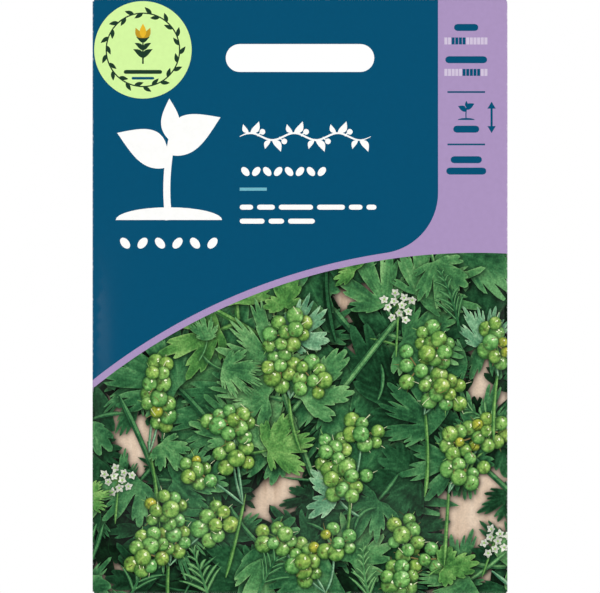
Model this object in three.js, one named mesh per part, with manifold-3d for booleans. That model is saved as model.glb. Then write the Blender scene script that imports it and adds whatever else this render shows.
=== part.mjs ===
// A seed packet: one sheet of coated paper folded and glued into a flat pouch with a punched hang slot, a
// round sticker on its front, and inside it a heat-sealed foil sachet with the seeds in it.
// Millimetres, +Z up. The front faces -Y. The origin is the middle of the slot's top edge, where a peg
// carries the packet.
import * as THREE from "three";
import { mergeVertices } from "three/addons/utils/BufferGeometryUtils.js";
import Module from "manifold-3d";

const wasm = await Module();
wasm.setup();

// The outside of the packet
const PACKET_WIDTH = 95;
const PACKET_HEIGHT = 136;
const PAPER = 0.16;
const GLUE = 0.06;
const AIR_GAP = 0.08; // front panel to side flap, where the packet is pressed flat

// The hang slot, a stadium with full round ends
const SLOT_WIDTH = 34;
const SLOT_HEIGHT = 6.4;
const SLOT_DROP = 10.2; // top edge of the packet to top edge of the slot

// The flaps and their glue
const SIDE_FLAP_WIDTH = 14.5;
const TOP_FLAP_HEIGHT = 24;
const BOTTOM_FLAP_HEIGHT = 10;
const FLAP_CORNER_INSET = 2.2; // how much narrower each flap is at its free edge, on each side
const BACK_EDGE_INSET = 1.3; // right fold to the back panel's free edge
const GLUE_BAND = 5.5;
const GLUE_SIDE_INSET = 4; // glue band's end to the packet's side
const TOP_GLUE_DROP = 17.4; // top edge of the packet to the band under the slot
const BOTTOM_GLUE_RISE = 2.6; // bottom edge of the packet to the band

// The pillow that the seeds press out between the flat foot and the flat header
const PILLOW_DEPTH = 2.6; // on each side
const PILLOW_SIDE_POWER = 4;
const PILLOW_FOOT = 11;
const PILLOW_FULL_FROM = 30;
const PILLOW_FULL_TO = 62;
const PILLOW_HEAD = 112;
const PILLOW_SIDE_INSET = 0.5;

// The round sticker, set in the top left corner
const STICKER_DIAMETER = 22.3;
const STICKER_THICKNESS = 0.12;
const STICKER_INSET = 0.4;
const STICKER_SIDES = 48;

// The foil sachet
const FILM = 0.1;
const SACHET_WIDTH = 80;
const SACHET_FOOT = 16;
const SACHET_HEAD = 96;
const SEAL = 6;
const SACHET_DEPTH = 2.15; // inside, from the seal's plane to each film
const SACHET_SIDE_POWER = 6;
const SACHET_FULL_FROM = 30;
const SACHET_FULL_TO = 58;

// The seeds, lying one deep in the foot of the sachet
const SEED_RADIUS = 1.85;
const SEED_PITCH = 3.4;
const SEED_ROW_RISE = 3;
const SEED_FOOT = 30.6; // bottom edge of the packet to the first row's middle
const SEED_ROW_COUNTS = [13, 14, 13, 12, 11, 8];
const SEED_JITTER = 0.08;
const SEED_SIDES = 6;
const SEED_RINGS = 4;
const RANDOM_SEED = 7;

// Heights of the packet's edges
const TOP = SLOT_DROP;
const BOTTOM = TOP - PACKET_HEIGHT;
const HALF_WIDTH = PACKET_WIDTH / 2;

// Where each ply's faces lie in Y when the packet is pressed flat, front to back
const FRONT_IN = -AIR_GAP / 2;
const FRONT_OUT = FRONT_IN - PAPER;
const SIDE_FLAP_IN = AIR_GAP / 2;
const SIDE_FLAP_OUT = SIDE_FLAP_IN + PAPER;
const BACK_IN = SIDE_FLAP_OUT + GLUE;
const BACK_OUT = BACK_IN + PAPER;
const FLAP_IN = BACK_OUT + GLUE;
const FLAP_OUT = FLAP_IN + PAPER;

// A fold is a half circle of the sheet between the front panel and the ply that it leads to.
const foldTo = (outside) => ({ radius: (outside - FRONT_OUT) / 2, middle: (outside + FRONT_OUT) / 2 });
const LEFT_FOLD = foldTo(BACK_OUT);
const RIGHT_FOLD = foldTo(SIDE_FLAP_OUT);
const END_FOLD = foldTo(FLAP_OUT); // at the top and the bottom
const FOLD_STEPS = 4;

const FRONT_LEFT = -HALF_WIDTH + LEFT_FOLD.radius;
const FRONT_RIGHT = HALF_WIDTH - RIGHT_FOLD.radius;
const BACK_EDGE = HALF_WIDTH - BACK_EDGE_INSET;
const SIDE_FLAP_EDGE = HALF_WIDTH - SIDE_FLAP_WIDTH;
const SEAM_GLUE_RIGHT = HALF_WIDTH - GLUE_SIDE_INSET;
const SEAM_GLUE_LEFT = SEAM_GLUE_RIGHT - GLUE_BAND;

const PAPER_PRINT = new THREE.MeshStandardMaterial({ color: 0x085172, roughness: 0.42, metalness: 0 });
const STICKER_PAPER = new THREE.MeshStandardMaterial({ color: 0xd4f6a0, roughness: 0.38, metalness: 0 });
const DRIED_GLUE = new THREE.MeshStandardMaterial({ color: 0xe6dfcb, roughness: 0.5, metalness: 0 });
const FOIL = new THREE.MeshStandardMaterial({ color: 0xc9ccd0, roughness: 0.3, metalness: 0.9 });
const SEED_HUSK = new THREE.MeshStandardMaterial({ color: 0xb08d57, roughness: 0.8, metalness: 0 });

// How far a panel stands out at x, at a height above the packet's bottom edge: a flat-topped pillow across,
// with a sine rise from the foot, a level stretch over the seeds and a long cosine fall to the header.
function pillow(x, height) {
  const across = Math.max(0, 1 - Math.abs(x / (HALF_WIDTH - PILLOW_SIDE_INSET)) ** PILLOW_SIDE_POWER);
  return PILLOW_DEPTH * across * plateau(height, PILLOW_FOOT, PILLOW_FULL_FROM, PILLOW_FULL_TO, PILLOW_HEAD);
}

// The same for the inside of the sachet, within its seals.
function sachetPillow(x, height) {
  const half = SACHET_WIDTH / 2 - SEAL;
  const across = Math.max(0, 1 - Math.abs(x / half) ** SACHET_SIDE_POWER);
  const along = plateau(height, SACHET_FOOT + SEAL, SACHET_FULL_FROM, SACHET_FULL_TO, SACHET_HEAD - SEAL);
  return SACHET_DEPTH * across * along;
}

// 0 at the foot and the head, 1 on the level stretch between.
function plateau(height, foot, fullFrom, fullTo, head) {
  if (height <= foot || height >= head) return 0;
  if (height < fullFrom) return Math.sin((Math.PI / 2) * ((height - foot) / (fullFrom - foot)));
  if (height > fullTo) return (1 + Math.cos(Math.PI * ((height - fullTo) / (head - fullTo)))) / 2;
  return 1;
}

// Even steps from one value to another, both included.
const steps = (from, to, count) =>
  Array.from({ length: count + 1 }, (_, k) => from + ((to - from) * k) / count);

// A closed slab between two grids of points, over the cells that are present. Going along a row and then up
// to the next turns anticlockwise when the slab is seen from its outside grid.
function slab(outside, inside, present = () => true) {
  const rows = outside.length;
  const columns = outside[0].length;
  const points = [...outside.flat(), ...inside.flat()];
  const out = (i, j) => i * columns + j;
  const back = (i, j) => rows * columns + out(i, j);
  const filled = (i, j) => i >= 0 && j >= 0 && i < rows - 1 && j < columns - 1 && present(i, j);
  const triangles = [];
  const quad = (a, b, c, d) => triangles.push(a, b, c, a, c, d);
  for (let i = 0; i < rows - 1; i++)
    for (let j = 0; j < columns - 1; j++) {
      if (!filled(i, j)) continue;
      quad(out(i, j), out(i, j + 1), out(i + 1, j + 1), out(i + 1, j));
      triangles.push(back(i, j), back(i + 1, j + 1), back(i, j + 1));
      triangles.push(back(i, j), back(i + 1, j), back(i + 1, j + 1));
      if (!filled(i - 1, j)) quad(out(i, j), back(i, j), back(i, j + 1), out(i, j + 1));
      if (!filled(i + 1, j)) quad(out(i + 1, j), out(i + 1, j + 1), back(i + 1, j + 1), back(i + 1, j));
      if (!filled(i, j - 1)) quad(out(i, j), out(i + 1, j), back(i + 1, j), back(i, j));
      if (!filled(i, j + 1)) quad(out(i, j + 1), back(i, j + 1), back(i + 1, j + 1), out(i + 1, j + 1));
    }
  const geometry = new THREE.BufferGeometry().setFromPoints(points).setIndex(triangles).toNonIndexed();
  geometry.computeVertexNormals();
  return geometry;
}

const grid = (rows, columns, point) => rows.map((row) => columns.map((column) => point(row, column)));

// Heights of the grid lines that every ply of the pillow shares, above the packet's bottom edge
const FLAT_FOOT_LINES = [END_FOLD.radius, PILLOW_FOOT / 2];
const RISE_LINES = steps(PILLOW_FOOT, PILLOW_FULL_FROM, 5);
const LEVEL_LINES = steps(PILLOW_FULL_FROM, PILLOW_FULL_TO, 4).slice(1);
const FALL_LINES = steps(PILLOW_FULL_TO, PILLOW_HEAD, 9).slice(1);
const HEIGHT_LINES = [
  ...FLAT_FOOT_LINES,
  ...RISE_LINES,
  ...LEVEL_LINES,
  ...FALL_LINES,
  PACKET_HEIGHT - END_FOLD.radius,
];

// Places of the grid lines across a panel: closer together towards the sides, where the pillow curves most,
// and with lines at the seam's edges so that glue and paper share them
const MIDDLE_LINES = [-44, -41, -37, -SIDE_FLAP_EDGE, -27, -20, -11, 0, 11, 20, 27];
const SEAM_LINES = [SIDE_FLAP_EDGE, SEAM_GLUE_LEFT, SEAM_GLUE_LEFT + GLUE_BAND / 2, SEAM_GLUE_RIGHT];
const FRONT_COLUMNS = [FRONT_LEFT, ...MIDDLE_LINES, ...SEAM_LINES, BACK_EDGE, FRONT_RIGHT];
const BACK_COLUMNS = [BACK_EDGE, ...[...SEAM_LINES].reverse(), ...[...MIDDLE_LINES].reverse()];
const SIDE_FLAP_COLUMNS = [FRONT_RIGHT, BACK_EDGE, ...[...SEAM_LINES].reverse()];

// A column of the sheet gives its place in X and Y at a height, for a depth of 0 at the printed face and
// PAPER at the unprinted one.
const backColumn = (x) => ({ at: (height, depth) => [x, BACK_OUT - depth + pillow(x, height)] });
const sideFlapColumn = (x) => ({ at: (height, depth) => [x, SIDE_FLAP_OUT - depth + pillow(x, height)] });
const frontColumn = (x) => ({ x, at: (height, depth) => [x, FRONT_OUT + depth - pillow(x, height)] });

// A column in a side fold, which is straight up and down. turn is 0 at the front and half a turn at the back.
const foldColumn = (fold, side, turn) => ({
  at: (height, depth) => [
    side * (HALF_WIDTH - fold.radius + (fold.radius - depth) * Math.sin(turn)),
    fold.middle - (fold.radius - depth) * Math.cos(turn),
  ],
});
const insideTurns = steps(0, Math.PI, FOLD_STEPS).slice(1);

const SHEET_COLUMNS = [
  ...BACK_COLUMNS.map(backColumn),
  ...[...insideTurns].reverse().map((turn) => foldColumn(LEFT_FOLD, -1, turn)),
  ...FRONT_COLUMNS.map(frontColumn),
  ...insideTurns.map((turn) => foldColumn(RIGHT_FOLD, 1, turn)),
  ...SIDE_FLAP_COLUMNS.slice(1).map(sideFlapColumn),
];

// A row of the sheet is a height on the panels, a turn of an end fold, or the free edge of the flap past it.
// end is 1 at the top and -1 at the bottom.
const panelRow = (height) => ({ height });
const endFoldRow = (end, turn) => ({ end, turn });
const flapEdgeRow = (end, reach) => ({ end, reach });
const flapRows = (end, reach) => [
  ...insideTurns.map((turn) => endFoldRow(end, turn)),
  flapEdgeRow(end, reach),
];

const SHEET_ROWS = [
  ...flapRows(-1, BOTTOM_FLAP_HEIGHT).reverse(),
  ...HEIGHT_LINES.map(panelRow),
  ...flapRows(1, TOP_FLAP_HEIGHT),
];

// A point of the folded sheet. Past the panels only the front columns are used.
function sheetPoint(row, column, depth) {
  if (row.height !== undefined) {
    const [x, y] = column.at(row.height, depth);
    return new THREE.Vector3(x, y, BOTTOM + row.height);
  }
  const x = column.x ?? 0;
  const edge = row.end > 0 ? TOP : BOTTOM;
  const centre = edge - row.end * END_FOLD.radius;
  if (row.turn !== undefined) {
    const radius = END_FOLD.radius - depth;
    return new THREE.Vector3(
      x,
      END_FOLD.middle - radius * Math.cos(row.turn),
      centre + row.end * radius * Math.sin(row.turn),
    );
  }
  const narrowing = 1 - FLAP_CORNER_INSET / HALF_WIDTH;
  return new THREE.Vector3(x * narrowing, FLAP_OUT - depth, centre - row.end * row.reach);
}

// A closed mesh as a solid for boolean work, and a solid as a mesh's geometry.
function solidOf(geometry) {
  const bare = geometry.clone();
  bare.deleteAttribute("normal");
  bare.deleteAttribute("uv");
  const merged = mergeVertices(bare, 1e-4);
  const vertProperties = new Float32Array(merged.attributes.position.array);
  const triVerts = new Uint32Array(merged.index.array);
  return new wasm.Manifold(new wasm.Mesh({ numProp: 3, vertProperties, triVerts }));
}

function geometryOf(solid) {
  const mesh = solid.getMesh();
  const geometry = new THREE.BufferGeometry();
  geometry.setAttribute("position", new THREE.BufferAttribute(new Float32Array(mesh.vertProperties), 3));
  geometry.setIndex(new THREE.BufferAttribute(new Uint32Array(mesh.triVerts), 1));
  const flat = geometry.toNonIndexed();
  flat.computeVertexNormals();
  return flat;
}

// The punch for the hang slot, long enough to go through every ply.
function slotPunch() {
  const radius = SLOT_HEIGHT / 2;
  const straight = SLOT_WIDTH / 2 - radius;
  const outline = new THREE.Shape();
  outline.absarc(straight, -radius, radius, -Math.PI / 2, Math.PI / 2);
  outline.absarc(-straight, -radius, radius, Math.PI / 2, (3 * Math.PI) / 2);
  const reach = 2;
  const solid = { depth: 2 * reach, bevelEnabled: false, curveSegments: 16 };
  const punch = new THREE.ExtrudeGeometry(outline, solid);
  return punch.rotateX(Math.PI / 2).translate(0, reach, 0);
}

// The printed sheet, folded round to the back on the left, on the right to the side flap, and at both ends to
// the flaps, with the slot punched through all its plies.
function paperSheet() {
  const isFront = (j) => SHEET_COLUMNS[j].x !== undefined && SHEET_COLUMNS[j + 1].x !== undefined;
  const isPanel = (i) => SHEET_ROWS[i].height !== undefined && SHEET_ROWS[i + 1].height !== undefined;
  const face = (depth) => grid(SHEET_ROWS, SHEET_COLUMNS, (row, column) => sheetPoint(row, column, depth));
  const folded = slab(face(0), face(PAPER), (i, j) => isPanel(i) || isFront(j));
  return geometryOf(solidOf(folded).subtract(solidOf(slotPunch())));
}

// The glue between the side flap and the back panel, which curves with them.
function sideSeamGlue() {
  const columns = SEAM_LINES.slice(1).reverse();
  const rows = HEIGHT_LINES.slice(1, -1);
  const face = (level) =>
    grid(rows, columns, (h, x) => new THREE.Vector3(x, level + pillow(x, h), BOTTOM + h));
  return slab(face(BACK_IN), face(SIDE_FLAP_OUT));
}

// The glue under an end flap: a flat band, upwards from a height.
function flapGlue(low) {
  const half = HALF_WIDTH - GLUE_SIDE_INSET;
  const face = (level) =>
    grid([low, low + GLUE_BAND], [half, -half], (z, x) => new THREE.Vector3(x, level, z));
  return slab(face(FLAP_IN), face(BACK_OUT));
}

// A disc on the front panel, in its top left corner.
function roundSticker() {
  const radius = STICKER_DIAMETER / 2;
  const middle = STICKER_INSET + radius;
  const disc = new THREE.CylinderGeometry(radius, radius, STICKER_THICKNESS, STICKER_SIDES);
  return disc.translate(-HALF_WIDTH + middle, FRONT_OUT - STICKER_THICKNESS / 2, TOP - middle);
}

// One film of the sachet: flat along its seals and pressed out over the seeds. side is -1 in front, 1 behind.
function sachetFilm(side) {
  const half = SACHET_WIDTH / 2;
  const across = [-half, ...steps(-half + SEAL, half - SEAL, 14), half];
  const up = [
    SACHET_FOOT,
    ...steps(SACHET_FOOT + SEAL, SACHET_FULL_FROM, 4),
    ...steps(SACHET_FULL_FROM, SACHET_FULL_TO, 3).slice(1),
    ...steps(SACHET_FULL_TO, SACHET_HEAD - SEAL, 5).slice(1),
    SACHET_HEAD,
  ];
  const columns = side < 0 ? across : across.reverse();
  const face = (thickness) =>
    grid(up, columns, (h, x) => new THREE.Vector3(x, side * (thickness + sachetPillow(x, h)), BOTTOM + h));
  return slab(face(FILM), face(0));
}

// A small repeatable source of random numbers between -1 and 1.
function jitterSource(start) {
  let state = start;
  return () => {
    state = (state * 16807) % 2147483647;
    return (2 * state) / 2147483647 - 1;
  };
}

// The seeds in hexagonal rows, a shorter row on a longer one, each sunk a little into its neighbours.
function seedHeap() {
  const jitter = jitterSource(RANDOM_SEED);
  const seeds = SEED_ROW_COUNTS.flatMap((count, row) =>
    steps(-(count - 1) / 2, (count - 1) / 2, count - 1).map((place) =>
      solidOf(
        new THREE.SphereGeometry(SEED_RADIUS, SEED_SIDES, SEED_RINGS).translate(
          place * SEED_PITCH,
          jitter() * SEED_JITTER,
          BOTTOM + SEED_FOOT + row * SEED_ROW_RISE,
        ),
      ),
    ),
  );
  return geometryOf(wasm.Manifold.union(seeds));
}

const packet = new THREE.Group();
packet.name = "seed_packet";

function addPiece(name, geometry, material) {
  const mesh = new THREE.Mesh(geometry, material);
  mesh.name = name;
  packet.add(mesh);
}

addPiece("paper_sheet", paperSheet(), PAPER_PRINT);
addPiece("round_sticker", roundSticker(), STICKER_PAPER);
addPiece("side_seam_glue", sideSeamGlue(), DRIED_GLUE);
addPiece("top_flap_glue", flapGlue(TOP - TOP_GLUE_DROP - GLUE_BAND), DRIED_GLUE);
addPiece("bottom_flap_glue", flapGlue(BOTTOM + BOTTOM_GLUE_RISE), DRIED_GLUE);
addPiece("sachet_front_film", sachetFilm(-1), FOIL);
addPiece("sachet_back_film", sachetFilm(1), FOIL);
addPiece("seed_heap", seedHeap(), SEED_HUSK);

export default packet;
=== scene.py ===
"""A printed seed packet that hangs by its slot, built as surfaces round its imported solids.

Lengths on the blank and in the artwork are millimetres, and become metres when a mesh is made. The blank is
the unfolded sheet seen from its printed side: u runs to the right and v upwards, from the front panel's
bottom left.
"""

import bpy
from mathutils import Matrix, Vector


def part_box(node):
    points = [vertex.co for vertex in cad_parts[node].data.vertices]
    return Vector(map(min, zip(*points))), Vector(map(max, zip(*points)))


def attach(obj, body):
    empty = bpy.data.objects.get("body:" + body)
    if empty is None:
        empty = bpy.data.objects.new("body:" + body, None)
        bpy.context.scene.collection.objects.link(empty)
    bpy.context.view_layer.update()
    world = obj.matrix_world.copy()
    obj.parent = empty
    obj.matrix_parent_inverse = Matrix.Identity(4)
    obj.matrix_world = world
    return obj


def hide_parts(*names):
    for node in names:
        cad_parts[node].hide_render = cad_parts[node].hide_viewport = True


bl_info = {
    "name": "Seed packet",
    "version": (1, 0, 0),
    "blender": (4, 5, 0),
    "location": "3D View > Sidebar > Seed packet",
    "description": "A folded, printed seed packet with its sticker, glue, foil sachet and seeds",
    "category": "Add Mesh",
}

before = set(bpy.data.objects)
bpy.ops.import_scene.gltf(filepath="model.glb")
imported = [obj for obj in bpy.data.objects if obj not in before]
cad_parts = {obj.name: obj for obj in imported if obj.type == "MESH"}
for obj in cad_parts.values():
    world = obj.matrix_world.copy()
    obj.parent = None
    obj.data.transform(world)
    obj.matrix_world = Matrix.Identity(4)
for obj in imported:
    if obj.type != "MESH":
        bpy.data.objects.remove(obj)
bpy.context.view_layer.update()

import math
from dataclasses import dataclass
from types import SimpleNamespace

import bpy
import numpy as np
from mathutils import Vector
from mathutils.geometry import delaunay_2d_cdt

MM = 0.001


def box_mm(node):
    """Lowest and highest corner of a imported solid, in millimetres."""
    return [np.array(corner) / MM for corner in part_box(node)]


# The folded packet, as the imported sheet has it
SHEET_LOW, SHEET_HIGH = box_mm("paper_sheet")
WIDTH, _, HEIGHT = SHEET_HIGH - SHEET_LOW
HALF_WIDTH = WIDTH / 2
TOP = SHEET_HIGH[2]
BOTTOM = SHEET_LOW[2]
PAPER = 0.16
GLUE = 0.06
FRONT_IN = -0.04
FRONT_OUT = FRONT_IN - PAPER
SIDE_FLAP_OUT = -FRONT_IN + PAPER
BACK_IN = SIDE_FLAP_OUT + GLUE
BACK_OUT = BACK_IN + PAPER
FLAP_IN = BACK_OUT + GLUE
FLAP_OUT = FLAP_IN + PAPER

# Radius of the sheet's outside in each fold
LEFT_RADIUS = (BACK_OUT - FRONT_OUT) / 2
RIGHT_RADIUS = (SIDE_FLAP_OUT - FRONT_OUT) / 2
END_RADIUS = (FLAP_OUT - FRONT_OUT) / 2

# The blank, from the left: back panel, left fold, front panel, right fold, side flap
FRONT_LEFT = LEFT_RADIUS
FRONT_RIGHT = WIDTH - RIGHT_RADIUS
BACK_EDGE_INSET = 1.3
SIDE_FLAP_WIDTH = 14.5
BACK_RIGHT = FRONT_LEFT - math.pi * LEFT_RADIUS
BACK_LEFT = BACK_RIGHT - (WIDTH - LEFT_RADIUS - BACK_EDGE_INSET)
SIDE_FLAP_LEFT = FRONT_RIGHT + math.pi * RIGHT_RADIUS
SIDE_FLAP_RIGHT = SIDE_FLAP_LEFT + SIDE_FLAP_WIDTH - RIGHT_RADIUS
# and from the bottom: bottom flap, fold, panels, fold, top flap
PANEL_LOW = END_RADIUS
PANEL_HIGH = HEIGHT - END_RADIUS
TOP_FLAP_HEIGHT = 24
BOTTOM_FLAP_HEIGHT = 10
TOP_FLAP_LOW = PANEL_HIGH + math.pi * END_RADIUS
TOP_FLAP_HIGH = TOP_FLAP_LOW + TOP_FLAP_HEIGHT
BOTTOM_FLAP_HIGH = PANEL_LOW - math.pi * END_RADIUS
BOTTOM_FLAP_LOW = BOTTOM_FLAP_HIGH - BOTTOM_FLAP_HEIGHT
# Corners of the rectangle round the blank
BLANK_LOW, BLANK_HIGH = (BACK_LEFT, BOTTOM_FLAP_LOW), (SIDE_FLAP_RIGHT, TOP_FLAP_HIGH)
FLAP_CORNER_INSET = 2.2
FLAP_CORNER_RADIUS = 3.0

# The hang slot
SLOT_WIDTH = 34
SLOT_HEIGHT = 6.4
SLOT_DROP = TOP

# The pillow that the seeds press out, as height above the packet's bottom edge
PILLOW_DEPTH = 2.6
PILLOW_SIDE_POWER = 4
PILLOW_FOOT, PILLOW_FULL_FROM, PILLOW_FULL_TO, PILLOW_HEAD = 11, 30, 62, 112
PILLOW_SIDE_INSET = 0.5

# Small unevenness of a filled panel: waves, upright buckles, bumps over the seeds, and how far it all sinks
WAVE_HEIGHT, WAVE_LENGTH = 0.17, 26
BUCKLE_HEIGHT, BUCKLE_WIDTH, BUCKLE_STRETCH = 0.34, 8.5, 0.16
BUMP_HEIGHT, BUMP_RADIUS = 0.07, 1.5
SINK = 0.05
# Numbers that start the two panels' noise
FRONT_NOISE, BACK_NOISE = 40, 60
# How far the flat header and foot stand off at their sides, both alike and one against the other
HEAD_BEND, HEAD_TWIST = 0.35, 0.16
FOOT_BEND, FOOT_TWIST = 0.18, 0.12

# The seeds' rule of place
SEED_PITCH = 3.4
SEED_ROW_RISE = 3
SEED_FOOT = 30.6
SEED_ROW_COUNTS = (13, 14, 13, 12, 11, 8)
SEED_RADIUS = 1.78
SEED_RIBS = 10
# A seed's foot and tip, in radii from its middle
SEED_ENDS = (-0.97, 1.16)


# Repeatable noise


def hashed(ix, iy, seed):
    """A repeatable value from 0 to 1 for each corner of a square lattice."""
    h = (ix * 374761393 + iy * 668265263 + seed * 2147483629) & 0xFFFFFFFF
    h = ((h ^ (h >> 13)) * 1274126177) & 0xFFFFFFFF
    return ((h ^ (h >> 16)) & 0xFFFF) / 0xFFFF


def noise(points, cell, seed):
    """Smooth values from -1 to 1: hashed lattice values blended by smoothstep inside each cell."""
    place = points / cell
    corner = np.floor(place).astype(np.int64)
    t = place - corner
    t = t * t * (3 - 2 * t)
    ix, iy = corner.T
    low = hashed(ix, iy, seed) * (1 - t[:, 0]) + hashed(ix + 1, iy, seed) * t[:, 0]
    high = hashed(ix, iy + 1, seed) * (1 - t[:, 0]) + hashed(ix + 1, iy + 1, seed) * t[:, 0]
    return 2 * (low * (1 - t[:, 1]) + high * t[:, 1]) - 1


def clouds(points, cell, seed, octaves=3):
    """Noise summed over octaves, each half as large and half as strong as the one before."""
    return sum(noise(points, cell / 2**k, seed + k) / 2**k for k in range(octaves))


def smooth(low, high, x):
    """0 below low, 1 above high, and smoothstep between. With low above high it falls instead."""
    t = np.clip((x - low) / (high - low), 0, 1)
    return t * t * (3 - 2 * t)


# The folded form


def plateau(height, foot, full_from, full_to, head):
    """0 at the foot and the head, 1 on the level stretch, with a sine rise and a cosine fall."""
    rise = np.sin(np.pi / 2 * np.clip((height - foot) / (full_from - foot), 0, 1))
    fall = (1 + np.cos(np.pi * np.clip((height - full_to) / (head - full_to), 0, 1))) / 2
    return np.minimum(rise, fall)


def pillow(x, height):
    """How far a panel stands out: flat-topped across, and a plateau along the packet."""
    across = np.clip(1 - np.abs(x / (HALF_WIDTH - PILLOW_SIDE_INSET)) ** PILLOW_SIDE_POWER, 0, 1)
    return PILLOW_DEPTH * across * plateau(height, PILLOW_FOOT, PILLOW_FULL_FROM, PILLOW_FULL_TO, PILLOW_HEAD)


def seed_places():
    """Middles of the seeds in X and height: rows that sit in the hollows of the rows below."""
    places = []
    for row, count in enumerate(SEED_ROW_COUNTS):
        x = (np.arange(count) - (count - 1) / 2) * SEED_PITCH
        places.append(np.stack([x, np.full(count, SEED_FOOT + row * SEED_ROW_RISE)], 1))
    return np.concatenate(places)


def relief(x, height, front):
    """Small unevenness of a filled panel, outwards: low waves, upright buckles above and below the filling,
    and soft bumps over the seeds, all a little sunk. It fades out with the pillow."""
    points = np.stack([x, height], 1)
    full = pillow(x, height) / PILLOW_DEPTH
    seed = FRONT_NOISE if front else BACK_NOISE
    waves = WAVE_HEIGHT * clouds(points, WAVE_LENGTH, seed, 2) * np.minimum(1, 3 * full) - SINK * full
    upright = noise(points * np.array([1.0, BUCKLE_STRETCH]), BUCKLE_WIDTH, seed + 5)
    buckles = upright * BUCKLE_HEIGHT * 4 * full * (1 - full)
    bumps = np.zeros(len(x))
    low, high = SEED_FOOT - 5, SEED_FOOT + len(SEED_ROW_COUNTS) * SEED_ROW_RISE + 4
    near = np.flatnonzero((height > low) & (height < high))
    for place in seed_places():
        apart = ((points[near] - place) ** 2).sum(1)
        bumps[near] += BUMP_HEIGHT * np.exp(-apart / BUMP_RADIUS**2)
    return waves + buckles + bumps * (0.6 + 0.4 * noise(points, 7, seed + 9))


def curl(x, height):
    """How far the flat header and foot bend back or forth, all plies together."""
    head = smooth(PILLOW_HEAD, HEIGHT, height)
    foot = smooth(PILLOW_FOOT, 0, height)
    side = x / HALF_WIDTH
    lifted = head * (HEAD_BEND * side**2 + HEAD_TWIST * side)
    return lifted + foot * (FOOT_BEND * side**2 - FOOT_TWIST * side)


def past_fold(run, radius):
    """Turn round a fold, up to half a turn, and how far past it, for a run measured from the fold's start."""
    run = np.clip(run, 0, None)
    return np.minimum(run / radius, np.pi), np.clip(run - np.pi * radius, 0, None)


def folded(flat, depth):
    """The blank wrapped round its four folds. flat is (u, v), and depth is 0 on the printed face and PAPER on
    the bare one. Past a fold's start a point goes round a half circle and then back along the packet, and a
    panel stands out by the pillow and the relief. Returns points in millimetres."""
    u, v = flat.T
    depth = np.broadcast_to(depth, u.shape)
    left, past_left = past_fold(FRONT_LEFT - u, LEFT_RADIUS)
    right, past_right = past_fold(u - FRONT_RIGHT, RIGHT_RADIUS)
    up, past_up = past_fold(v - PANEL_HIGH, END_RADIUS)
    down, past_down = past_fold(PANEL_LOW - v, END_RADIUS)
    x = np.clip(u, FRONT_LEFT, FRONT_RIGHT) - HALF_WIDTH
    x = x - (LEFT_RADIUS - depth) * np.sin(left) + past_left
    x = x + (RIGHT_RADIUS - depth) * np.sin(right) - past_right
    height = np.clip(v, PANEL_LOW, PANEL_HIGH)
    height = height + (END_RADIUS - depth) * (np.sin(up) - np.sin(down)) - past_up + past_down
    turn = np.max([left, right, up, down], 0)
    radius = np.where(left > 0, LEFT_RADIUS, np.where(right > 0, RIGHT_RADIUS, END_RADIUS))
    y = FRONT_OUT + radius - (radius - depth) * np.cos(turn)
    on_panel = (up == 0) & (down == 0)
    out = np.where(on_panel, pillow(x, height), 0)
    for front in (True, False):
        here = np.flatnonzero(on_panel & ((np.cos(turn) > 0) == front))
        out[here] += relief(x[here], height[here], front)
    y = y - out * np.cos(turn) + curl(x, height)
    return np.stack([x, y, BOTTOM + height], 1)


# Outlines of the artwork, each an array of points that closes on itself


# The longest edge of an outline, short enough to follow a curved panel
LONGEST_EDGE = 2.4


def rgb(red, green, blue):
    """A display colour from its 8-bit values."""
    return np.array([red, green, blue]) / 255


def block(left, low, right, high):
    """A rectangle."""
    return np.array([(left, low), (right, low), (right, high), (left, high)], float)


def places_in_runs(lengths):
    """0, 1, 2 and so on within each of several runs, as one array."""
    return np.arange(lengths.sum()) - np.repeat(np.cumsum(lengths) - lengths, lengths)


def divided(corners, spacing):
    """The closed outline through corners, with extra points so that none are further apart than spacing."""
    corners = np.asarray(corners, float)
    steps = np.roll(corners, -1, 0) - corners
    count = np.maximum(1, np.ceil(np.hypot(*steps.T) / spacing).astype(int))
    side = np.repeat(np.arange(len(corners)), count)
    t = places_in_runs(count) / count[side]
    return corners[side] + steps[side] * t[:, None]


def oval(centre, across, along, sides=24, heading=0.0):
    """An ellipse from its two radii, the second along its heading."""
    t = np.arange(sides) * 2 * np.pi / sides
    return turned(np.stack([np.cos(t) * across, np.sin(t) * along], 1), heading) + centre


def unit(heading):
    """The direction of a heading, as a vector one long."""
    return np.array([math.cos(heading), math.sin(heading)])


def turned(points, heading):
    """Points turned about the origin, anticlockwise."""
    c, s = math.cos(heading), math.sin(heading)
    return points @ np.array([[c, s], [-s, c]])


def pill(left, low, right, high, sides=8):
    """A bar with half-round ends."""
    radius = (high - low) / 2
    t = np.linspace(-np.pi / 2, np.pi / 2, sides)
    end = np.stack([np.cos(t), np.sin(t)], 1) * radius
    middle = (low + high) / 2
    return np.concatenate([end + (right - radius, middle), -end + (left + radius, middle)])


def bow(start, middle, end, count=12):
    """Points of a quadratic curve from start to end, pulled towards middle."""
    t = np.linspace(0, 1, count)[:, None]
    start, middle, end = (np.asarray(p, float) for p in (start, middle, end))
    return start * (1 - t) ** 2 + 2 * middle * t * (1 - t) + end * t**2


def ribbon(path, widths):
    """The outline of a path carried by a width that may change along it."""
    path = np.asarray(path, float)
    along = np.gradient(path, axis=0)
    normal = np.stack([-along[:, 1], along[:, 0]], 1) / np.linalg.norm(along, axis=1)[:, None]
    half = np.broadcast_to(widths, len(path))[:, None] / 2
    return np.concatenate([path + normal * half, (path - normal * half)[::-1]])


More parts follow.
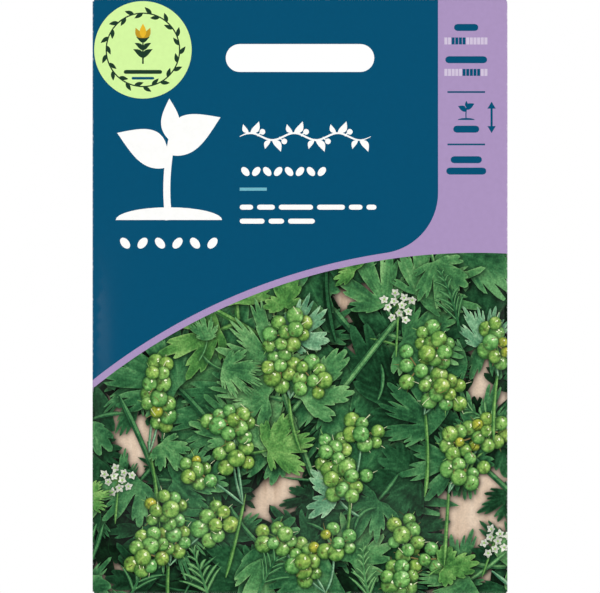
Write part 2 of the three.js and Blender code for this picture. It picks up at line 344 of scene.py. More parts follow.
def drop_leaf(base, heading, length, width, lean=0.0, count=12):
    """A plain pointed leaf: half-widths follow the sine of the way along, and the spine bends by lean."""
    t = np.linspace(0, 1, count)
    spine = np.stack([t * length, lean * length * np.sin(np.pi * t)], 1)
    half = np.stack([np.zeros(count), width / 2 * np.sin(np.pi * t**0.8)], 1)
    return turned(np.concatenate([spine + half, (spine - half)[::-1][1:-1]]), heading) + base


@dataclass
class Shape:
    """One printed shape: its outline, its ink as a colour or a function of points, and how dark and how wide
    the shadow is that it is drawn with."""

    outline: np.ndarray
    ink: object
    shadow: float = 0.0
    spread: float = 0.5

    def __post_init__(self):
        self.outline = divided(self.outline, LONGEST_EDGE)
        self.low, self.high = self.outline.min(0), self.outline.max(0)


# Inks and motifs of the herb picture

WOOD = [rgb(156, 128, 106), rgb(212, 188, 164), rgb(232, 212, 190)]
SHADE = [rgb(0, 6, 0), rgb(6, 30, 13), rgb(22, 62, 34)]
DEEP = [rgb(2, 22, 10), rgb(23, 66, 38), rgb(54, 110, 68)]
MIDDLE = [rgb(14, 50, 30), rgb(48, 104, 62), rgb(100, 156, 98)]
UPPER = [rgb(30, 74, 46), rgb(72, 130, 76), rgb(132, 182, 116)]
PALE = [rgb(44, 96, 70), rgb(100, 154, 114), rgb(168, 208, 164)]
YOUNG = [rgb(32, 78, 38), rgb(78, 134, 64), rgb(138, 184, 102)]
FRUIT = [rgb(48, 92, 40), rgb(98, 150, 70), rgb(146, 192, 98), rgb(206, 230, 158)]
STALK = rgb(72, 106, 52)
HAIR = rgb(206, 214, 168)
SPARK = rgb(240, 248, 206)
FRUIT_TIP = rgb(58, 58, 30)
HUSK = rgb(122, 110, 66)
PETAL = rgb(236, 240, 222)
# Where the light in the picture comes from: right, up and out of the print
PICTURE_LIGHT = np.array([0.38, 0.48, 0.79])
# Turn, in radians, from each place to the next that spreads them evenly round a middle
GOLDEN_TURN = 2.4
FRUIT_RADIUS = 1.9
FEATHER_PAIRS = 7
FEATHER_WIDTH = 0.7


def ramp(stops, t):
    """Colours along a row of evenly spaced stops, from t = 0 to t = 1."""
    stops = np.asarray(stops, float)
    at = np.clip(t, 0, 1) * (len(stops) - 1)
    k = np.clip(np.floor(at).astype(int), 0, len(stops) - 2)
    return stops[k] * (1 - at + k)[:, None] + stops[k + 1] * (at - k)[:, None]


def wood_ink(points):
    """Pale board with upright grain: noise that is stretched along the grain, over broad clouds."""
    grain = clouds(points * np.array([1.0, 0.08]), 1.1, 77, 4)
    return ramp(WOOD, 0.62 + 0.16 * grain + 0.22 * clouds(points, 9, 5, 2) + 0.05 * noise(points, 0.4, 8))


def herb_leaf(base, heading, size, tones, rng, cast, lobes, squash=0.85, lean=0.0, deeper=0.0):
    """A toothed fan leaf. Seen from its base, its edge stands at a distance that falls from each lobe's
    middle to the cut between lobes, is notched between its teeth by a power of a triangle wave, and falls to
    nothing at the fan's two sides. cast is how dark and how wide its shadow is."""
    fan = rng.uniform(1.25, 1.75)
    middles = np.linspace(-fan, fan, lobes) + rng.uniform(-0.06, 0.06, lobes)
    half_step = fan / (lobes - 1)
    from_middle = np.abs(np.linspace(-1, 1, lobes))
    lobe_size = 1 + rng.uniform(-0.12, 0.12, lobes) - 0.28 * from_middle**1.6
    cut = rng.uniform(0.34, 0.62, lobes) + deeper
    fullness = rng.uniform(1.5, 2.8)
    teeth = np.where(from_middle < 0.6, rng.choice([3, 5]), 3) + 2 * (lobes == 3)
    depth = rng.uniform(0.16, 0.32, lobes)
    bluntness = rng.uniform(1.5, 3.0)
    end = fan + 0.9 * half_step

    def lobe_of(angle):
        """Which lobe an angle is in, and how far off its middle, 1 at the cut."""
        near = np.argmin(np.abs(angle[:, None] - middles), 1)
        return near, (angle - middles[near]) / half_step

    def reach(angle):
        """The edge's distance from the base."""
        near, off = lobe_of(angle)
        off = np.clip(np.abs(off), 0, 1)
        tooth = off * teeth[near] / 2
        notch = 2 * np.abs(tooth - np.round(tooth))
        r = lobe_size[near] * (1 - cut[near] * off**fullness) * (1 - depth[near] * notch**bluntness)
        return size * r * np.clip((end - np.abs(angle)) / (0.3 * end), 0, 1) ** 0.5

    tips = [m + half_step * k / (2 * n) for m, n in zip(middles, teeth) for k in range(-2 * n, 2 * n + 1)]
    angles = np.unique(np.clip(np.concatenate([np.linspace(-end, end, 24), tips]), -end, end))
    ragged = noise(np.stack([angles, angles + 9], 1), 0.13, int(size * 100))
    r = reach(angles) * (1 + 0.04 * ragged) + 0.03 * size
    along, across = np.cos(angles) * r, np.sin(angles) * r
    outline = base + turned(np.stack([along, lean * along**2 - squash * across], 1), heading)
    seed = int(rng.integers(1, 10**6))
    lit_side = rng.uniform(-0.13, 0.13)
    level = rng.uniform(0.36, 0.50)

    def ink(points):
        """Veins and their branches, puffed skin between them, glossy and dull patches, and a lighter rim."""
        local = turned(points - base, -heading)
        along = local[:, 0]
        across = (lean * along**2 - local[:, 1]) / squash
        r = np.hypot(across, along) + 1e-6
        angle = np.arctan2(across, along)
        near, off = lobe_of(np.clip(angle, -end, end))
        off = off * half_step
        out, aside = r * np.cos(off), np.abs(r * np.sin(off))
        share = np.clip(r / (reach(np.clip(angle, -end, end)) + 1e-6), 0, 1)
        vein = np.exp(-((aside / (0.10 + 0.012 * size * (1 - share))) ** 2)) * smooth(1.0, 0.3, share)
        branch = np.cos(2 * np.pi * (out - 1.3 * aside) / (0.13 * size))
        clear = smooth(0.02, 0.12, aside / size)
        streak = noise(np.stack([angle * size * 1.1, r * 0.22], 1), 0.6, seed + 5)
        gloss = smooth(0.2, 0.8, noise(np.stack([angle * size * 0.35, r * 0.3], 1), 1.3, seed + 7)) * clear
        tone = level + 0.10 * share + (0.07 * branch + lit_side * np.sign(off)) * clear + 0.11 * streak
        puffed = 0.24 * clouds(points, 0.34 * size, seed) + 0.13 * clouds(points, 1.1, seed + 9, 2)
        tone += puffed + 0.22 * gloss
        side_veins = 0.12 * smooth(0.8, 1.0, branch) * (1 - vein) * clear
        tone += 0.20 * vein + side_veins + 0.22 * smooth(0.96, 1.0, share)
        return ramp(tones, tone)

    return [Shape(outline, ink, *cast)]


def over_board(point, margin=1.5):
    """Whether a point is where the board is to show, or less than a margin from there."""
    return (np.hypot(*(BOARD_GAPS[:, :2] - point).T) < BOARD_GAPS[:, 2] + margin).any()


def stalked_leaf(base, heading, size, tones, rng, cast):
    """A leaf with its stalk, which comes from behind in a bend. A stalk that would start on the bare board is
    left out, and so is one of the darkest leaves."""
    back = unit(heading + np.pi + rng.uniform(-0.5, 0.5))
    root = base + size * rng.uniform(0.5, 0.9) * back
    ahead = unit(heading)
    shapes = stem(root, base - 0.25 * size * ahead, base + 0.12 * size * ahead, 0.075 * size, tones, rng)
    if over_board(root) or over_board(base) or tones is SHADE:
        shapes = []
    lobes = int(rng.choice([3, 5, 5, 7]))
    squash = rng.uniform(0.65, 1.0)
    lean = rng.uniform(-0.02, 0.02)
    return shapes + herb_leaf(base, heading, size, tones, rng, cast, lobes, squash, lean)


def compound_leaf(base, heading, size, tones, rng, cast):
    """Three deeply cut fan leaves on a bent stalk, one at its end and a smaller one on either side."""
    ahead, aside = unit(heading), unit(heading + np.pi / 2)
    start, fork = base - 0.75 * size * ahead, base + 0.55 * size * ahead
    bend = base + rng.uniform(-0.12, 0.12) * size * aside
    end = fork + 0.2 * size * ahead
    shapes = []
    for side in (-1, 1):
        turn = heading + side * rng.uniform(0.85, 1.2)
        foot = bow(start, bend, end)[6 + rng.integers(2)]
        out = size * unit(turn)
        shapes += stem(foot, foot + 0.12 * out, foot + 0.26 * out, 0.05 * size, tones, rng)
        shapes += herb_leaf(foot + 0.18 * out, turn, 0.62 * size, tones, rng, cast, lobes=5, deeper=0.14)
    shapes += stem(start, bend, end, 0.06 * size, tones, rng)
    return shapes + herb_leaf(fork, heading, 0.75 * size, tones, rng, cast, lobes=7, deeper=0.14)


def stem(start, middle, end, width, tones, rng):
    """A round stalk: a dark ribbon with a narrower light one on its lit side. Both ends taper off."""
    path = bow(start, middle, end, 16)
    taper = np.interp(np.linspace(0, 1, len(path)), [0, 0.15, 0.85, 1], [0.25, 1.0, 0.75, 0.15]) * width
    seed = int(rng.integers(1, 10**6))
    shapes = []
    for level, share, shadow in ((0.3, 1.0, 0.5), (0.8, 0.45, 0.0)):
        shift = 0.12 * width * (share < 1)
        ink = lambda points, level=level: ramp(tones, level + 0.2 * clouds(points, 1.5, seed, 2))
        shapes.append(Shape(ribbon(path + shift, taper * share), ink, shadow, 0.45))
    return shapes


def fruit(centre, radius, rng):
    """A round ridged fruit: a ball lit from the upper right, a glow at its far edge, ridges that run to its
    tip, and a spark or two of light."""
    turn = rng.uniform(0, 2 * np.pi)
    tip = unit(turn) * rng.uniform(0.2, 0.75)
    ripe = 1 + rng.uniform(-0.8, 0.7) * np.array([0.12, -0.01, -0.14])
    if rng.random() < 0.025:
        ripe = np.array([1.26, 0.98, 0.7])
        radius = 0.75 * radius
    seed = int(rng.integers(1, 10**6))

    def ink(points):
        """The ball's light and ridges, and its dark tip."""
        d = (points - centre) / radius
        off = np.hypot(*d.T)
        up = np.sqrt(np.clip(1 - off**2, 0, 1))
        right, above, out = PICTURE_LIGHT
        lit = np.clip(right * d[:, 0] + above * d[:, 1] + out * up, 0, 1)
        away = d - tip
        from_tip = np.hypot(*away.T)
        ridges = np.cos(9 * np.arctan2(away[:, 1], away[:, 0]) + 1.5 * from_tip)
        tone = 0.08 + 0.62 * lit + 0.08 * ridges + 0.20 * clouds(points, 0.9, seed, 2)
        tone += 0.30 * smooth(0.6, 0.0, np.hypot(*(d + (0.42, 0.5)).T)) - 0.30 * smooth(0.80, 1.0, off)
        dark = 0.6 * smooth(0.30, 0.06, from_tip)[:, None]
        return ramp(FRUIT, tone) * ripe * (1 - dark) + FRUIT_TIP * dark

    shapes = [Shape(oval(centre, radius * rng.uniform(0.94, 1.04), radius, 18, turn), ink, 0.7, 0.35)]
    for k in range(rng.integers(1, 4)):
        spark = centre + radius * (np.array([0.30, 0.34]) + rng.uniform(-0.28, 0.28, 2) * (k > 0))
        size = radius * (0.16 if k == 0 else 0.08) * rng.uniform(0.8, 1.3)
        shapes.append(Shape(oval(spark, size, 0.75 * size, 7, rng.uniform(0, 3)), SPARK))
    return shapes


def fruit_head(centre, reach, count, rng):
    """A head of fruits on fine stalks: places drawn in an oval with a least distance, the outer ones painted
    first, with dry hairs and husks between them."""
    heading, long = rng.uniform(0, np.pi), rng.uniform(1.0, 1.4)
    places = []
    for _ in range(4000):
        place = rng.uniform(-1, 1, 2)
        if np.hypot(*place) > 1:
            continue
        place = turned(place * np.array([long, 1 / long]) * reach, heading)
        apart = [np.hypot(*(place - other)) for other in places]
        if min(apart, default=reach) > rng.uniform(1.05, 1.7) * FRUIT_RADIUS:
            places.append(place)
        if len(places) == count:
            break
    places.sort(key=lambda place: -np.hypot(*place) + rng.uniform(-1.5, 1.5))
    shapes = []
    for place in places:
        middle = centre + place / 2 + rng.uniform(-0.5, 0.5, 2)
        stalk = ribbon(bow(centre, middle, centre + place, 5), 0.3)
        shapes.append(Shape(stalk, [STALK, HUSK][rng.integers(2)]))
    for place in places:
        out = turned(place / (np.hypot(*place) + 1e-6), rng.uniform(-0.6, 0.6))
        place = centre + place
        tip = place + rng.uniform(1.15, 1.6) * FRUIT_RADIUS * out
        if rng.random() < 0.6:
            hair = ribbon(bow(place, place + out, tip, 4), [0.26, 0.2, 0.14, 0.06])
            shapes.append(Shape(hair, [HAIR, YOUNG[2], HUSK][rng.integers(3)]))
        shapes += fruit(place, FRUIT_RADIUS * rng.uniform(0.74, 1.1), rng)
        if rng.random() < 0.5:
            start = place + rng.uniform(-1.3, 1.3, 2)
            end = start + rng.uniform(-1.6, 1.6, 2)
            ink = [HAIR, HUSK, FRUIT_TIP][rng.integers(3)]
            middle = (start + end) / 2 + rng.uniform(-0.4, 0.4, 2)
            shapes.append(Shape(ribbon(bow(start, middle, end, 4), 0.16), ink))
    return shapes


def umbel(x, y, heads, rng):
    """Fruit heads on rays that spread from the end of one stalk below them, in a rough ring that they partly
    fill."""
    root = np.array([x + rng.uniform(-5, 5), y - rng.uniform(7, 13)])
    far = min(root + rng.uniform((-9, -20), (9, -12), (8, 2)), key=over_board)
    over = root + 0.15 * (root - far)
    first = rng.uniform(0, 2 * np.pi)
    rays, fruits = stem(far, (far + root) / 2 + rng.uniform(-2, 2, 2), over, 0.95, YOUNG, rng), []
    for k in range(heads):
        turn = first + k * GOLDEN_TURN
        off = 5.4 * math.sqrt(k + 0.3) * rng.uniform(0.8, 1.15)
        centre = np.array([x + off * math.cos(turn), y + 0.85 * off * math.sin(turn)])
        rays += stem(root, (centre + root) / 2 + rng.uniform(-2, 2, 2), centre, 0.6, PALE, rng)
        fruits += fruit_head(centre, rng.uniform(3.4, 4.6), int(rng.integers(6, 11)), rng)
    return rays + fruits


def feather_leaf(base, heading, length, tones, rng):
    """A finely cut leaf: pairs of narrow blades, shorter towards the tip, on a bent spine."""
    ahead = unit(heading)
    aside = np.array([-ahead[1], ahead[0]])
    end = base + ahead * length
    spine = bow(base, (base + end) / 2 + aside * rng.uniform(-0.15, 0.15) * length, end, 20)
    seed = int(rng.integers(1, 10**6))
    ink = lambda points: ramp(tones, 0.5 + 0.3 * clouds(points, 1.2, seed, 2))
    blade = FEATHER_WIDTH * np.array([0.7, 0.95, 1.0, 0.95, 0.8, 0.55, 0.15])
    shapes = []
    for k in range(FEATHER_PAIRS):
        root = spine[3 + 16 * k // FEATHER_PAIRS]
        for side in (-1, 1):
            out = unit(heading + side * rng.uniform(0.5, 0.95))
            far = root + out * length * rng.uniform(0.22, 0.42) * (1.15 - k / FEATHER_PAIRS)
            path = bow(root, (root + far) / 2 + 0.06 * length * ahead, far, len(blade))
            shapes.append(Shape(ribbon(path, blade), ink, 0.4, 0.4))
            shapes.append(Shape(ribbon(path[:-1], 0.16), tones[-1]))
    shapes.append(Shape(ribbon(spine, np.linspace(1.0, 0.3, len(spine)) * FEATHER_WIDTH), ink, 0.4, 0.4))
    return shapes


def flower_head(centre, reach, count, rng, root):
    """A flat head of small white flowers: five petals each, on rays that spread from one point."""
    centre = np.asarray(centre, float)
    shapes = stem(root, (centre + root) / 2, centre, 0.6, YOUNG, rng)
    middles = [centre + math.sqrt((k + 0.5) / count) * reach * unit(GOLDEN_TURN * k) for k in range(count)]
    for middle in middles:
        shapes.append(Shape(ribbon(bow(centre, (centre + middle) / 2, middle, 4), 0.24), STALK))
    for middle in middles:
        turn = rng.uniform(0, 2 * np.pi)
        white = PETAL * rng.uniform(0.86, 1.0)
        ink = lambda points, white=white: np.ones((len(points), 3)) * white
        for k in range(5):
            petal = drop_leaf(middle, turn + k * 2 * np.pi / 5, rng.uniform(0.9, 1.25), 0.8, 0.0, 6)
            shapes.append(Shape(petal, ink, 0.3, 0.3))
        shapes.append(Shape(oval(middle, 0.26, 0.26, 8), FRUIT[2]))
    return shapes


PICTURE_SEED = 11
PICTURE_LOW, PICTURE_HIGH = np.array([-3.0, -3.0]), np.array([98.0, 80.0])
# Where the board shows between the leaves: middle and radius
BOARD_GAPS = np.array([
    (62, 67, 6.2), (11, 35, 5.6), (39, 21, 5.8), (85, 18, 6.4), (91, 45, 6.8), (59, 3, 4.4), (3, 9, 4.4)
])
# Where the fruits stand: middle and number of heads, first those that lie under the uppermost leaves
LOWER_UMBELS = [(14, 45, 2), (77, 51, 3), (57, 30, 3), (17, 14, 4), (73, 9, 3)]
UPPER_UMBELS = [(46, 52, 3), (31, 33, 3), (86, 33, 3), (49, 10, 3), (92, 60, 1)]
# Base, heading and size
COMPOUND_LEAVES = [
    (34, 60, 2.6, 24), (66, 58, 0.9, 24), (12, 30, -1.2, 22), (46, 40, 1.9, 23), (88, 30, 2.4, 22)
]
FEATHERS = [
    (8, -2, 1.2, 19), (27, -2, 1.9, 16), (38, 0, 1.0, 17),
    (95, 36, 2.6, 15), (84, 60, 1.9, 16), (64, -3, 1.7, 15),
]
# Middle, radius and number of flowers
FLOWER_HEADS = [(70, 66, 3.8, 11), (6, 26, 3.6, 10), (92, 12, 3.4, 9)]


def herb_picture():
    """The lower part of the front: leaves in layers on a pale board, with stalks, large compound leaves,
    feathery leaves, heads of green fruits and heads of white flowers on top."""
    rng = np.random.default_rng(PICTURE_SEED)
    shapes = [Shape(block(*PICTURE_LOW, *PICTURE_HIGH), wood_ink)]

    def strew(count, size, tones, cast):
        """Leaves at random places and headings that leave the gaps open."""
        made = 0
        for _ in range(12 * count):
            base = rng.uniform(PICTURE_LOW - 1, PICTURE_HIGH)
            heading = rng.uniform(0, 2 * np.pi)
            long = rng.uniform(*size)
            if over_board(base + 0.6 * long * unit(heading), 0.36 * long):
                continue
            chosen = tones[rng.integers(len(tones))]
            shapes.extend(stalked_leaf(base, heading, long, chosen, rng, cast))
            made += 1
            if made == count:
                break

    strew(50, (14, 24), [SHADE], (0.6, 0.8))
    strew(30, (14, 24), [SHADE, DEEP], (0.65, 0.8))
    for x, y, gap in BOARD_GAPS:
        for k in range(5):
            side = (k + rng.uniform(0, 0.8)) * 2 * np.pi / 5
            long = rng.uniform(8, 14)
            base = (x, y) + (gap + 0.72 * long) * unit(side)
            heading = side + np.pi + rng.uniform(-0.5, 0.5)
            shapes.extend(stalked_leaf(base, heading, long, [DEEP, MIDDLE][k % 2], rng, (0.8, 0.6)))
    strew(26, (14, 24), [DEEP, MIDDLE], (0.7, 0.8))
    strew(24, (13, 25), [MIDDLE, MIDDLE, UPPER], (0.7, 0.8))
    for k in range(16):
        start = rng.uniform((0, 0), (95, 70))
        end = start + rng.uniform(-17, 17, 2)
        middle = (start + end) / 2 + rng.uniform(-3, 3, 2)
        if not over_board(start) and not over_board(end):
            shapes.extend(stem(start, middle, end, rng.uniform(0.5, 1.1), [MIDDLE, YOUNG, PALE][k % 3], rng))
    for x, y, heading, long in COMPOUND_LEAVES:
        tones = [MIDDLE, UPPER, YOUNG][rng.integers(3)]
        shapes.extend(compound_leaf(np.array([x, y]), heading, long, tones, rng, (0.75, 0.7)))
    strew(8, (8, 14), [UPPER, YOUNG, PALE], (0.7, 0.7))
    for k, (x, y, heading, length) in enumerate(FEATHERS):
        shapes.extend(feather_leaf(np.array([x, y]), heading, length, [MIDDLE, UPPER][k % 2], rng))
    for x, y, reach, count in FLOWER_HEADS:
        root = (x + rng.uniform(-6, 6), y - rng.uniform(7, 12))
        shapes.extend(flower_head((x, y), reach, count, rng, root))
    for x, y, heads in LOWER_UMBELS:
        shapes.extend(umbel(x, y, heads, rng))
    strew(5, (6, 9), [UPPER, YOUNG], (0.8, 0.5))
    for x, y, heads in UPPER_UMBELS:
        shapes.extend(umbel(x, y, heads, rng))
    return shapes


# The plain graphics

WHITE = rgb(252, 252, 250)
# Circle that bounds the picture from above
ARC_MIDDLE = np.array([88.0, -62.0])
ARC_RADIUS = 140.0
ARC_LINE = 1.5
STRIP_LEFT = 79.1
STRIP_CORNER = 14.0
# Middle of the strip's marks, and the height of its bars and cells
MARKS_MIDDLE = (STRIP_LEFT + WIDTH) / 2 - 1.5
MARK_HEIGHT = 1.6
LEFT_FOLD_MIDDLE = FRONT_LEFT - math.pi * LEFT_RADIUS / 2
TOP_FOLD_MIDDLE = PANEL_HIGH + math.pi * END_RADIUS / 2
BOTTOM_FOLD_MIDDLE = PANEL_LOW - math.pi * END_RADIUS / 2
BLEED = 2.0


def flat(outlines, ink):
    """Shapes in one plain ink."""
    return [Shape(outline, ink) for outline in outlines]


def word_rows(left, top, right, rows, height, rise, rng):
    """Rows of bars as long as words, which stand for small print. The last row stops early."""
    bars = []
    for row in range(rows):
        low = top - height - row * rise
        end = right if row < rows - 1 else left + (right - left) * 0.55
        start = left
        while start < end - 2 * height:
            stop = min(start + rng.uniform(2.2, 8.0) * height, end)
            bars.append(pill(start, low, max(stop, start + 1.2 * height), low + height, 5))
            start = stop + 0.75 * height
    return bars


def sprig(base, heading, length, pairs, leaf, width):
    """A stalk with pairs of plain leaves, smaller towards the tip, and one leaf at the end."""
    base = np.asarray(base, float)
    ahead = unit(heading)
    stalk = base + ahead * np.linspace(0, length, 12)[:, None]
    outlines = [ribbon(stalk, np.linspace(width, 0.6 * width, 12))]
    for k in range(pairs):
        root = base + ahead * length * (k + 0.8) / (pairs + 0.6)
        size = leaf * (1 - 0.45 * k / pairs)
        for side in (-1, 1):
            outlines.append(drop_leaf(root, heading + side * 0.85, size, 0.42 * size, -0.12 * side))
    outlines.append(drop_leaf(base + ahead * length, heading, 0.8 * leaf, 0.34 * leaf))
    return outlines


def vine(left, level, length, waves, sway, leaf, width):
    """A trailing stalk, a sine along its length, with two leaves at each crest and trough, and a berry on a
    twig between one and the next."""
    x = np.linspace(0, length, 20 * waves)
    path = np.stack([left + x, level + sway * np.sin(2 * np.pi * waves * x / length)], 1)
    outlines = [ribbon(path, np.interp(x, [0, 2, length - 4, length], np.array([0.3, 1, 1, 0.3]) * width))]
    for k in range(2 * waves):
        up = (-1) ** k
        at = left + length * (k + 0.5) / (2 * waves)
        root = np.array([at, level + sway * up])
        outlines.append(drop_leaf(root, up * 0.95, leaf, 0.46 * leaf, -0.14 * up, 14))
        outlines.append(drop_leaf(root + (-0.5, 0), up * 2.1, 0.72 * leaf, 0.34 * leaf, 0.14 * up, 12))
        if k == 2 * waves - 1:
            break
        berry = root + (0.27 * length / waves, -1.9 * sway * up + 0.55 * leaf * up)
        twig = bow(root + (0.16 * length / waves, -0.9 * sway * up), berry - (0.5, 0.0), berry, 6)
        outlines += [ribbon(twig, 0.6 * width), oval(berry, 0.2 * leaf, 0.2 * leaf, 14)]
    return outlines


def seedling(base, tall):
    """A sprout on a low mound of soil: a stalk with two broad leaves and a small one between."""
    base = np.asarray(base, float)
    top = base + (0.02 * tall, 0.62 * tall)
    mound = oval(base, 0.42 * tall, 0.1 * tall, 32)
    mound = mound[mound[:, 1] >= base[1] - 1e-6]
    outlines = [mound, ribbon(bow(base, base + (-0.04 * tall, 0.3 * tall), top, 14), 0.055 * tall)]
    outlines.append(drop_leaf(base + (-0.01 * tall, 0.42 * tall), 2.55, 0.48 * tall, 0.27 * tall, -0.1, 22))
    outlines.append(drop_leaf(base + (0.0, 0.52 * tall), 0.62, 0.5 * tall, 0.28 * tall, 0.1, 22))
    outlines.append(drop_leaf(top, 1.62, 0.34 * tall, 0.15 * tall, 0.0, 16))
    return outlines


def month_cells(left, low, width, height, chosen):
    """A year as twelve cells: outlines of the chosen months, then of the others."""
    step = width / 12
    cells = [block(left + k * step, low, left + (k + 0.82) * step, low + height) for k in range(12)]
    return [cells[k] for k in chosen], [cells[k] for k in range(12) if k not in chosen]


def two_way_arrow(x, low, high, head, width):
    """An upright arrow with a head at both ends."""
    shaft = block(x - width / 2, low + head, x + width / 2, high - head)
    return [
        shaft,
        np.array([(x - 0.6 * head, low + head), (x, low), (x + 0.6 * head, low + head)]),
        np.array([(x + 0.6 * head, high - head), (x, high), (x - 0.6 * head, high - head)]),
    ]


def small_sun(centre, radius):
    """A disc with eight short rays."""
    centre = np.asarray(centre, float)
    outlines = [oval(centre, 0.5 * radius, 0.5 * radius, 20)]
    for k in range(8):
        ray = ribbon(np.array([(0.68 * radius, 0.0), (radius, 0.0)]), 0.17 * radius)
        outlines.append(turned(ray, k * np.pi / 4) + centre)
    return outlines


def seed_row(left, level, count, pitch, size):
    """A row of seeds that lean to and fro."""
    radii = (0.32 * size, 0.5 * size)
    return [oval((left + k * pitch, level), *radii, 16, 0.7 * (-1) ** k) for k in range(count)]


def arc_points(middle, radius, start, end, count):
    """Points of a circle from one angle to another."""
    t = np.linspace(start, end, count)
    return middle + radius * np.stack([np.cos(t), np.sin(t)], 1)


def front_grounds(look):
    """The two plain colours above the picture. The strip's colour covers all above the arc, and the field
    lies on it: it keeps a line's width from the arc and has a rounded corner where the strip comes down to
    the arc."""
    left, right, high = -BLEED, WIDTH + BLEED, HEIGHT + BLEED

    def on_arc(radius, u):
        """The angle at which a circle about the arc's middle passes a place across the packet."""
        return math.acos((u - ARC_MIDDLE[0]) / radius)

    edge = arc_points(ARC_MIDDLE, ARC_RADIUS, on_arc(ARC_RADIUS, left), on_arc(ARC_RADIUS, right), 70)
    under = np.concatenate([edge, [(right, high), (left, high)]])
    reach = ARC_RADIUS + ARC_LINE
    lean = on_arc(reach + STRIP_CORNER, STRIP_LEFT - STRIP_CORNER)
    corner = ARC_MIDDLE + (reach + STRIP_CORNER) * unit(lean)
    edge = arc_points(ARC_MIDDLE, reach, on_arc(reach, left), lean, 50)
    turn = arc_points(corner, STRIP_CORNER, lean - np.pi, 0, 16)
    field = np.concatenate([edge, turn, [(STRIP_LEFT, high), (left, high)]])
    return flat([under], look.strip) + flat([field], look.field)


def field_marks(look):
    """What is drawn in the field: a sprout over seeds, and beside it a vine, a row of seeds, a short accent
    line and rows of bars."""
    left = 33.7
    white = seedling((17.5, 85.5), 29) + seed_row(7.5, 80.2, count=6, pitch=4.0, size=2.9)
    white += vine(left, 104.6, 30, waves=3, sway=0.8, leaf=3.3, width=0.42)
    white += seed_row(35, 96.6, count=8, pitch=2.5, size=2.4)
    white += word_rows(left, 89, 65, rows=2, height=1.15, rise=3.2, rng=np.random.default_rng(3))
    return flat(white, WHITE) + flat([block(left, 92.2, 39.9, 92.9)], look.accent)


def strip_marks(look):
    """What is drawn down the strip, at drops from the packet's top: two calendars with a bar over each, a
    sprout over a bar with an arrow beside it, between two lines, and two bars."""
    middle = MARKS_MIDDLE
    dark, faint = [], []

    def bar(drop, length):
        """A bar as long as a word."""
        low = HEIGHT - drop - MARK_HEIGHT
        dark.append(pill(middle - length / 2, low, middle + length / 2, HEIGHT - drop, 6))

    calendars = ((5.6, 5.6, 8.7, range(2, 6)), (13.0, 9.6, 15.9, range(5, 10)))
    for bar_drop, length, cell_drop, chosen in calendars:
        bar(bar_drop, length)
        picked, others = month_cells(middle - 5, HEIGHT - cell_drop - MARK_HEIGHT, 10, MARK_HEIGHT, chosen)
        dark += picked
        faint += others
    for drop in (21.2, 33.2):
        dark.append(block(middle - 4.3, HEIGHT - drop - 0.2, middle + 4.3, HEIGHT - drop + 0.2))
    dark += seedling((middle, HEIGHT - 27.6), 4.6)
    dark += two_way_arrow(middle + 5.8, HEIGHT - 30.6, HEIGHT - 23.4, head=1.6, width=0.5)
    for drop, length in ((28.9, 6.0), (35.9, 7.2), (38.5, 9.2)):
        bar(drop, length)
    return flat(dark, look.field) + flat(faint, 0.55 * look.strip + 0.45 * WHITE)


def back_graphics(look):
    """The back panel and the flaps, in plain inks: a sprig, rows of bars, four steps of sowing in squares, a
    calendar of three rows, and a block of stripes."""
    rng = np.random.default_rng(5)
    left = BACK_LEFT
    margin, far_margin = left + 7, left + 86
    shapes = flat([block(left - BLEED, -BLEED, LEFT_FOLD_MIDDLE, HEIGHT + BLEED)], look.back)
    flaps = ((TOP_FOLD_MIDDLE, TOP_FLAP_HIGH + BLEED), (BOTTOM_FLAP_LOW - BLEED, BOTTOM_FOLD_MIDDLE))
    for low, high in flaps:
        shapes += flat([block(-BLEED, low, WIDTH + BLEED, high)], look.field)
    shapes += flat([block(left - BLEED, 103.2, LEFT_FOLD_MIDDLE, 104.6)], look.strip)
    dark = sprig((margin, 97.5), 0.0, 24, pairs=6, leaf=4.2, width=0.5)
    dark += word_rows(left + 42, 99.6, far_margin, rows=2, height=1.3, rise=3.1, rng=rng)
    dark += word_rows(margin, 89, far_margin, rows=4, height=0.95, rise=2.5, rng=rng)
    square, foot, soil = 16, 59, 62.6
    lefts = [left + 8.5 + 20 * k for k in range(4)]
    accent = [block(x, foot, x + square, foot + square) for x in lefts]
    dark += [ribbon(np.array([(x + 2.5, soil), (x + 8, soil), (x + 13.5, soil)]), 0.7) for x in lefts]
    sown, sprouted, grown, tall = [(x + square / 2, 62.8) for x in lefts]
    dark += [oval((sown[0] + aside, 61.0), 0.55, 0.75, 12) for aside in (-3.2, 0, 3.2)]
    dark += small_sun((sown[0], 69.5), 2.4) + seedling(sprouted, 7)
    dark += sprig(grown, np.pi / 2, 7, pairs=3, leaf=3.2, width=0.5)
    dark += sprig(tall, np.pi / 2, 8.5, pairs=4, leaf=3.4, width=0.5)
    faint = []
    for row, chosen in enumerate((range(2, 6), range(3, 8), range(5, 10))):
        low = 48 - 4.4 * row
        dark.append(pill(left + 8, low + 0.5, left + 16 + 2 * row, low + 1.9, 6))
        picked, others = month_cells(left + 26, low, 59, 2.6, chosen)
        shapes += flat(picked, (look.strip, look.accent, look.leaf)[row])
        faint += others
    dark += word_rows(margin, 33, left + 56, rows=5, height=0.95, rise=2.5, rng=rng)
    at = left + 64
    while at < left + 84:
        width = rng.choice([0.35, 0.6, 0.95])
        dark.append(block(at, 16, at + width, 29))
        at += width + rng.choice([0.35, 0.6])
    pale_accent = 0.6 * look.back + 0.4 * look.accent
    return shapes + flat(faint, 0.9 * look.back) + flat(accent, pale_accent) + flat(dark, look.field)


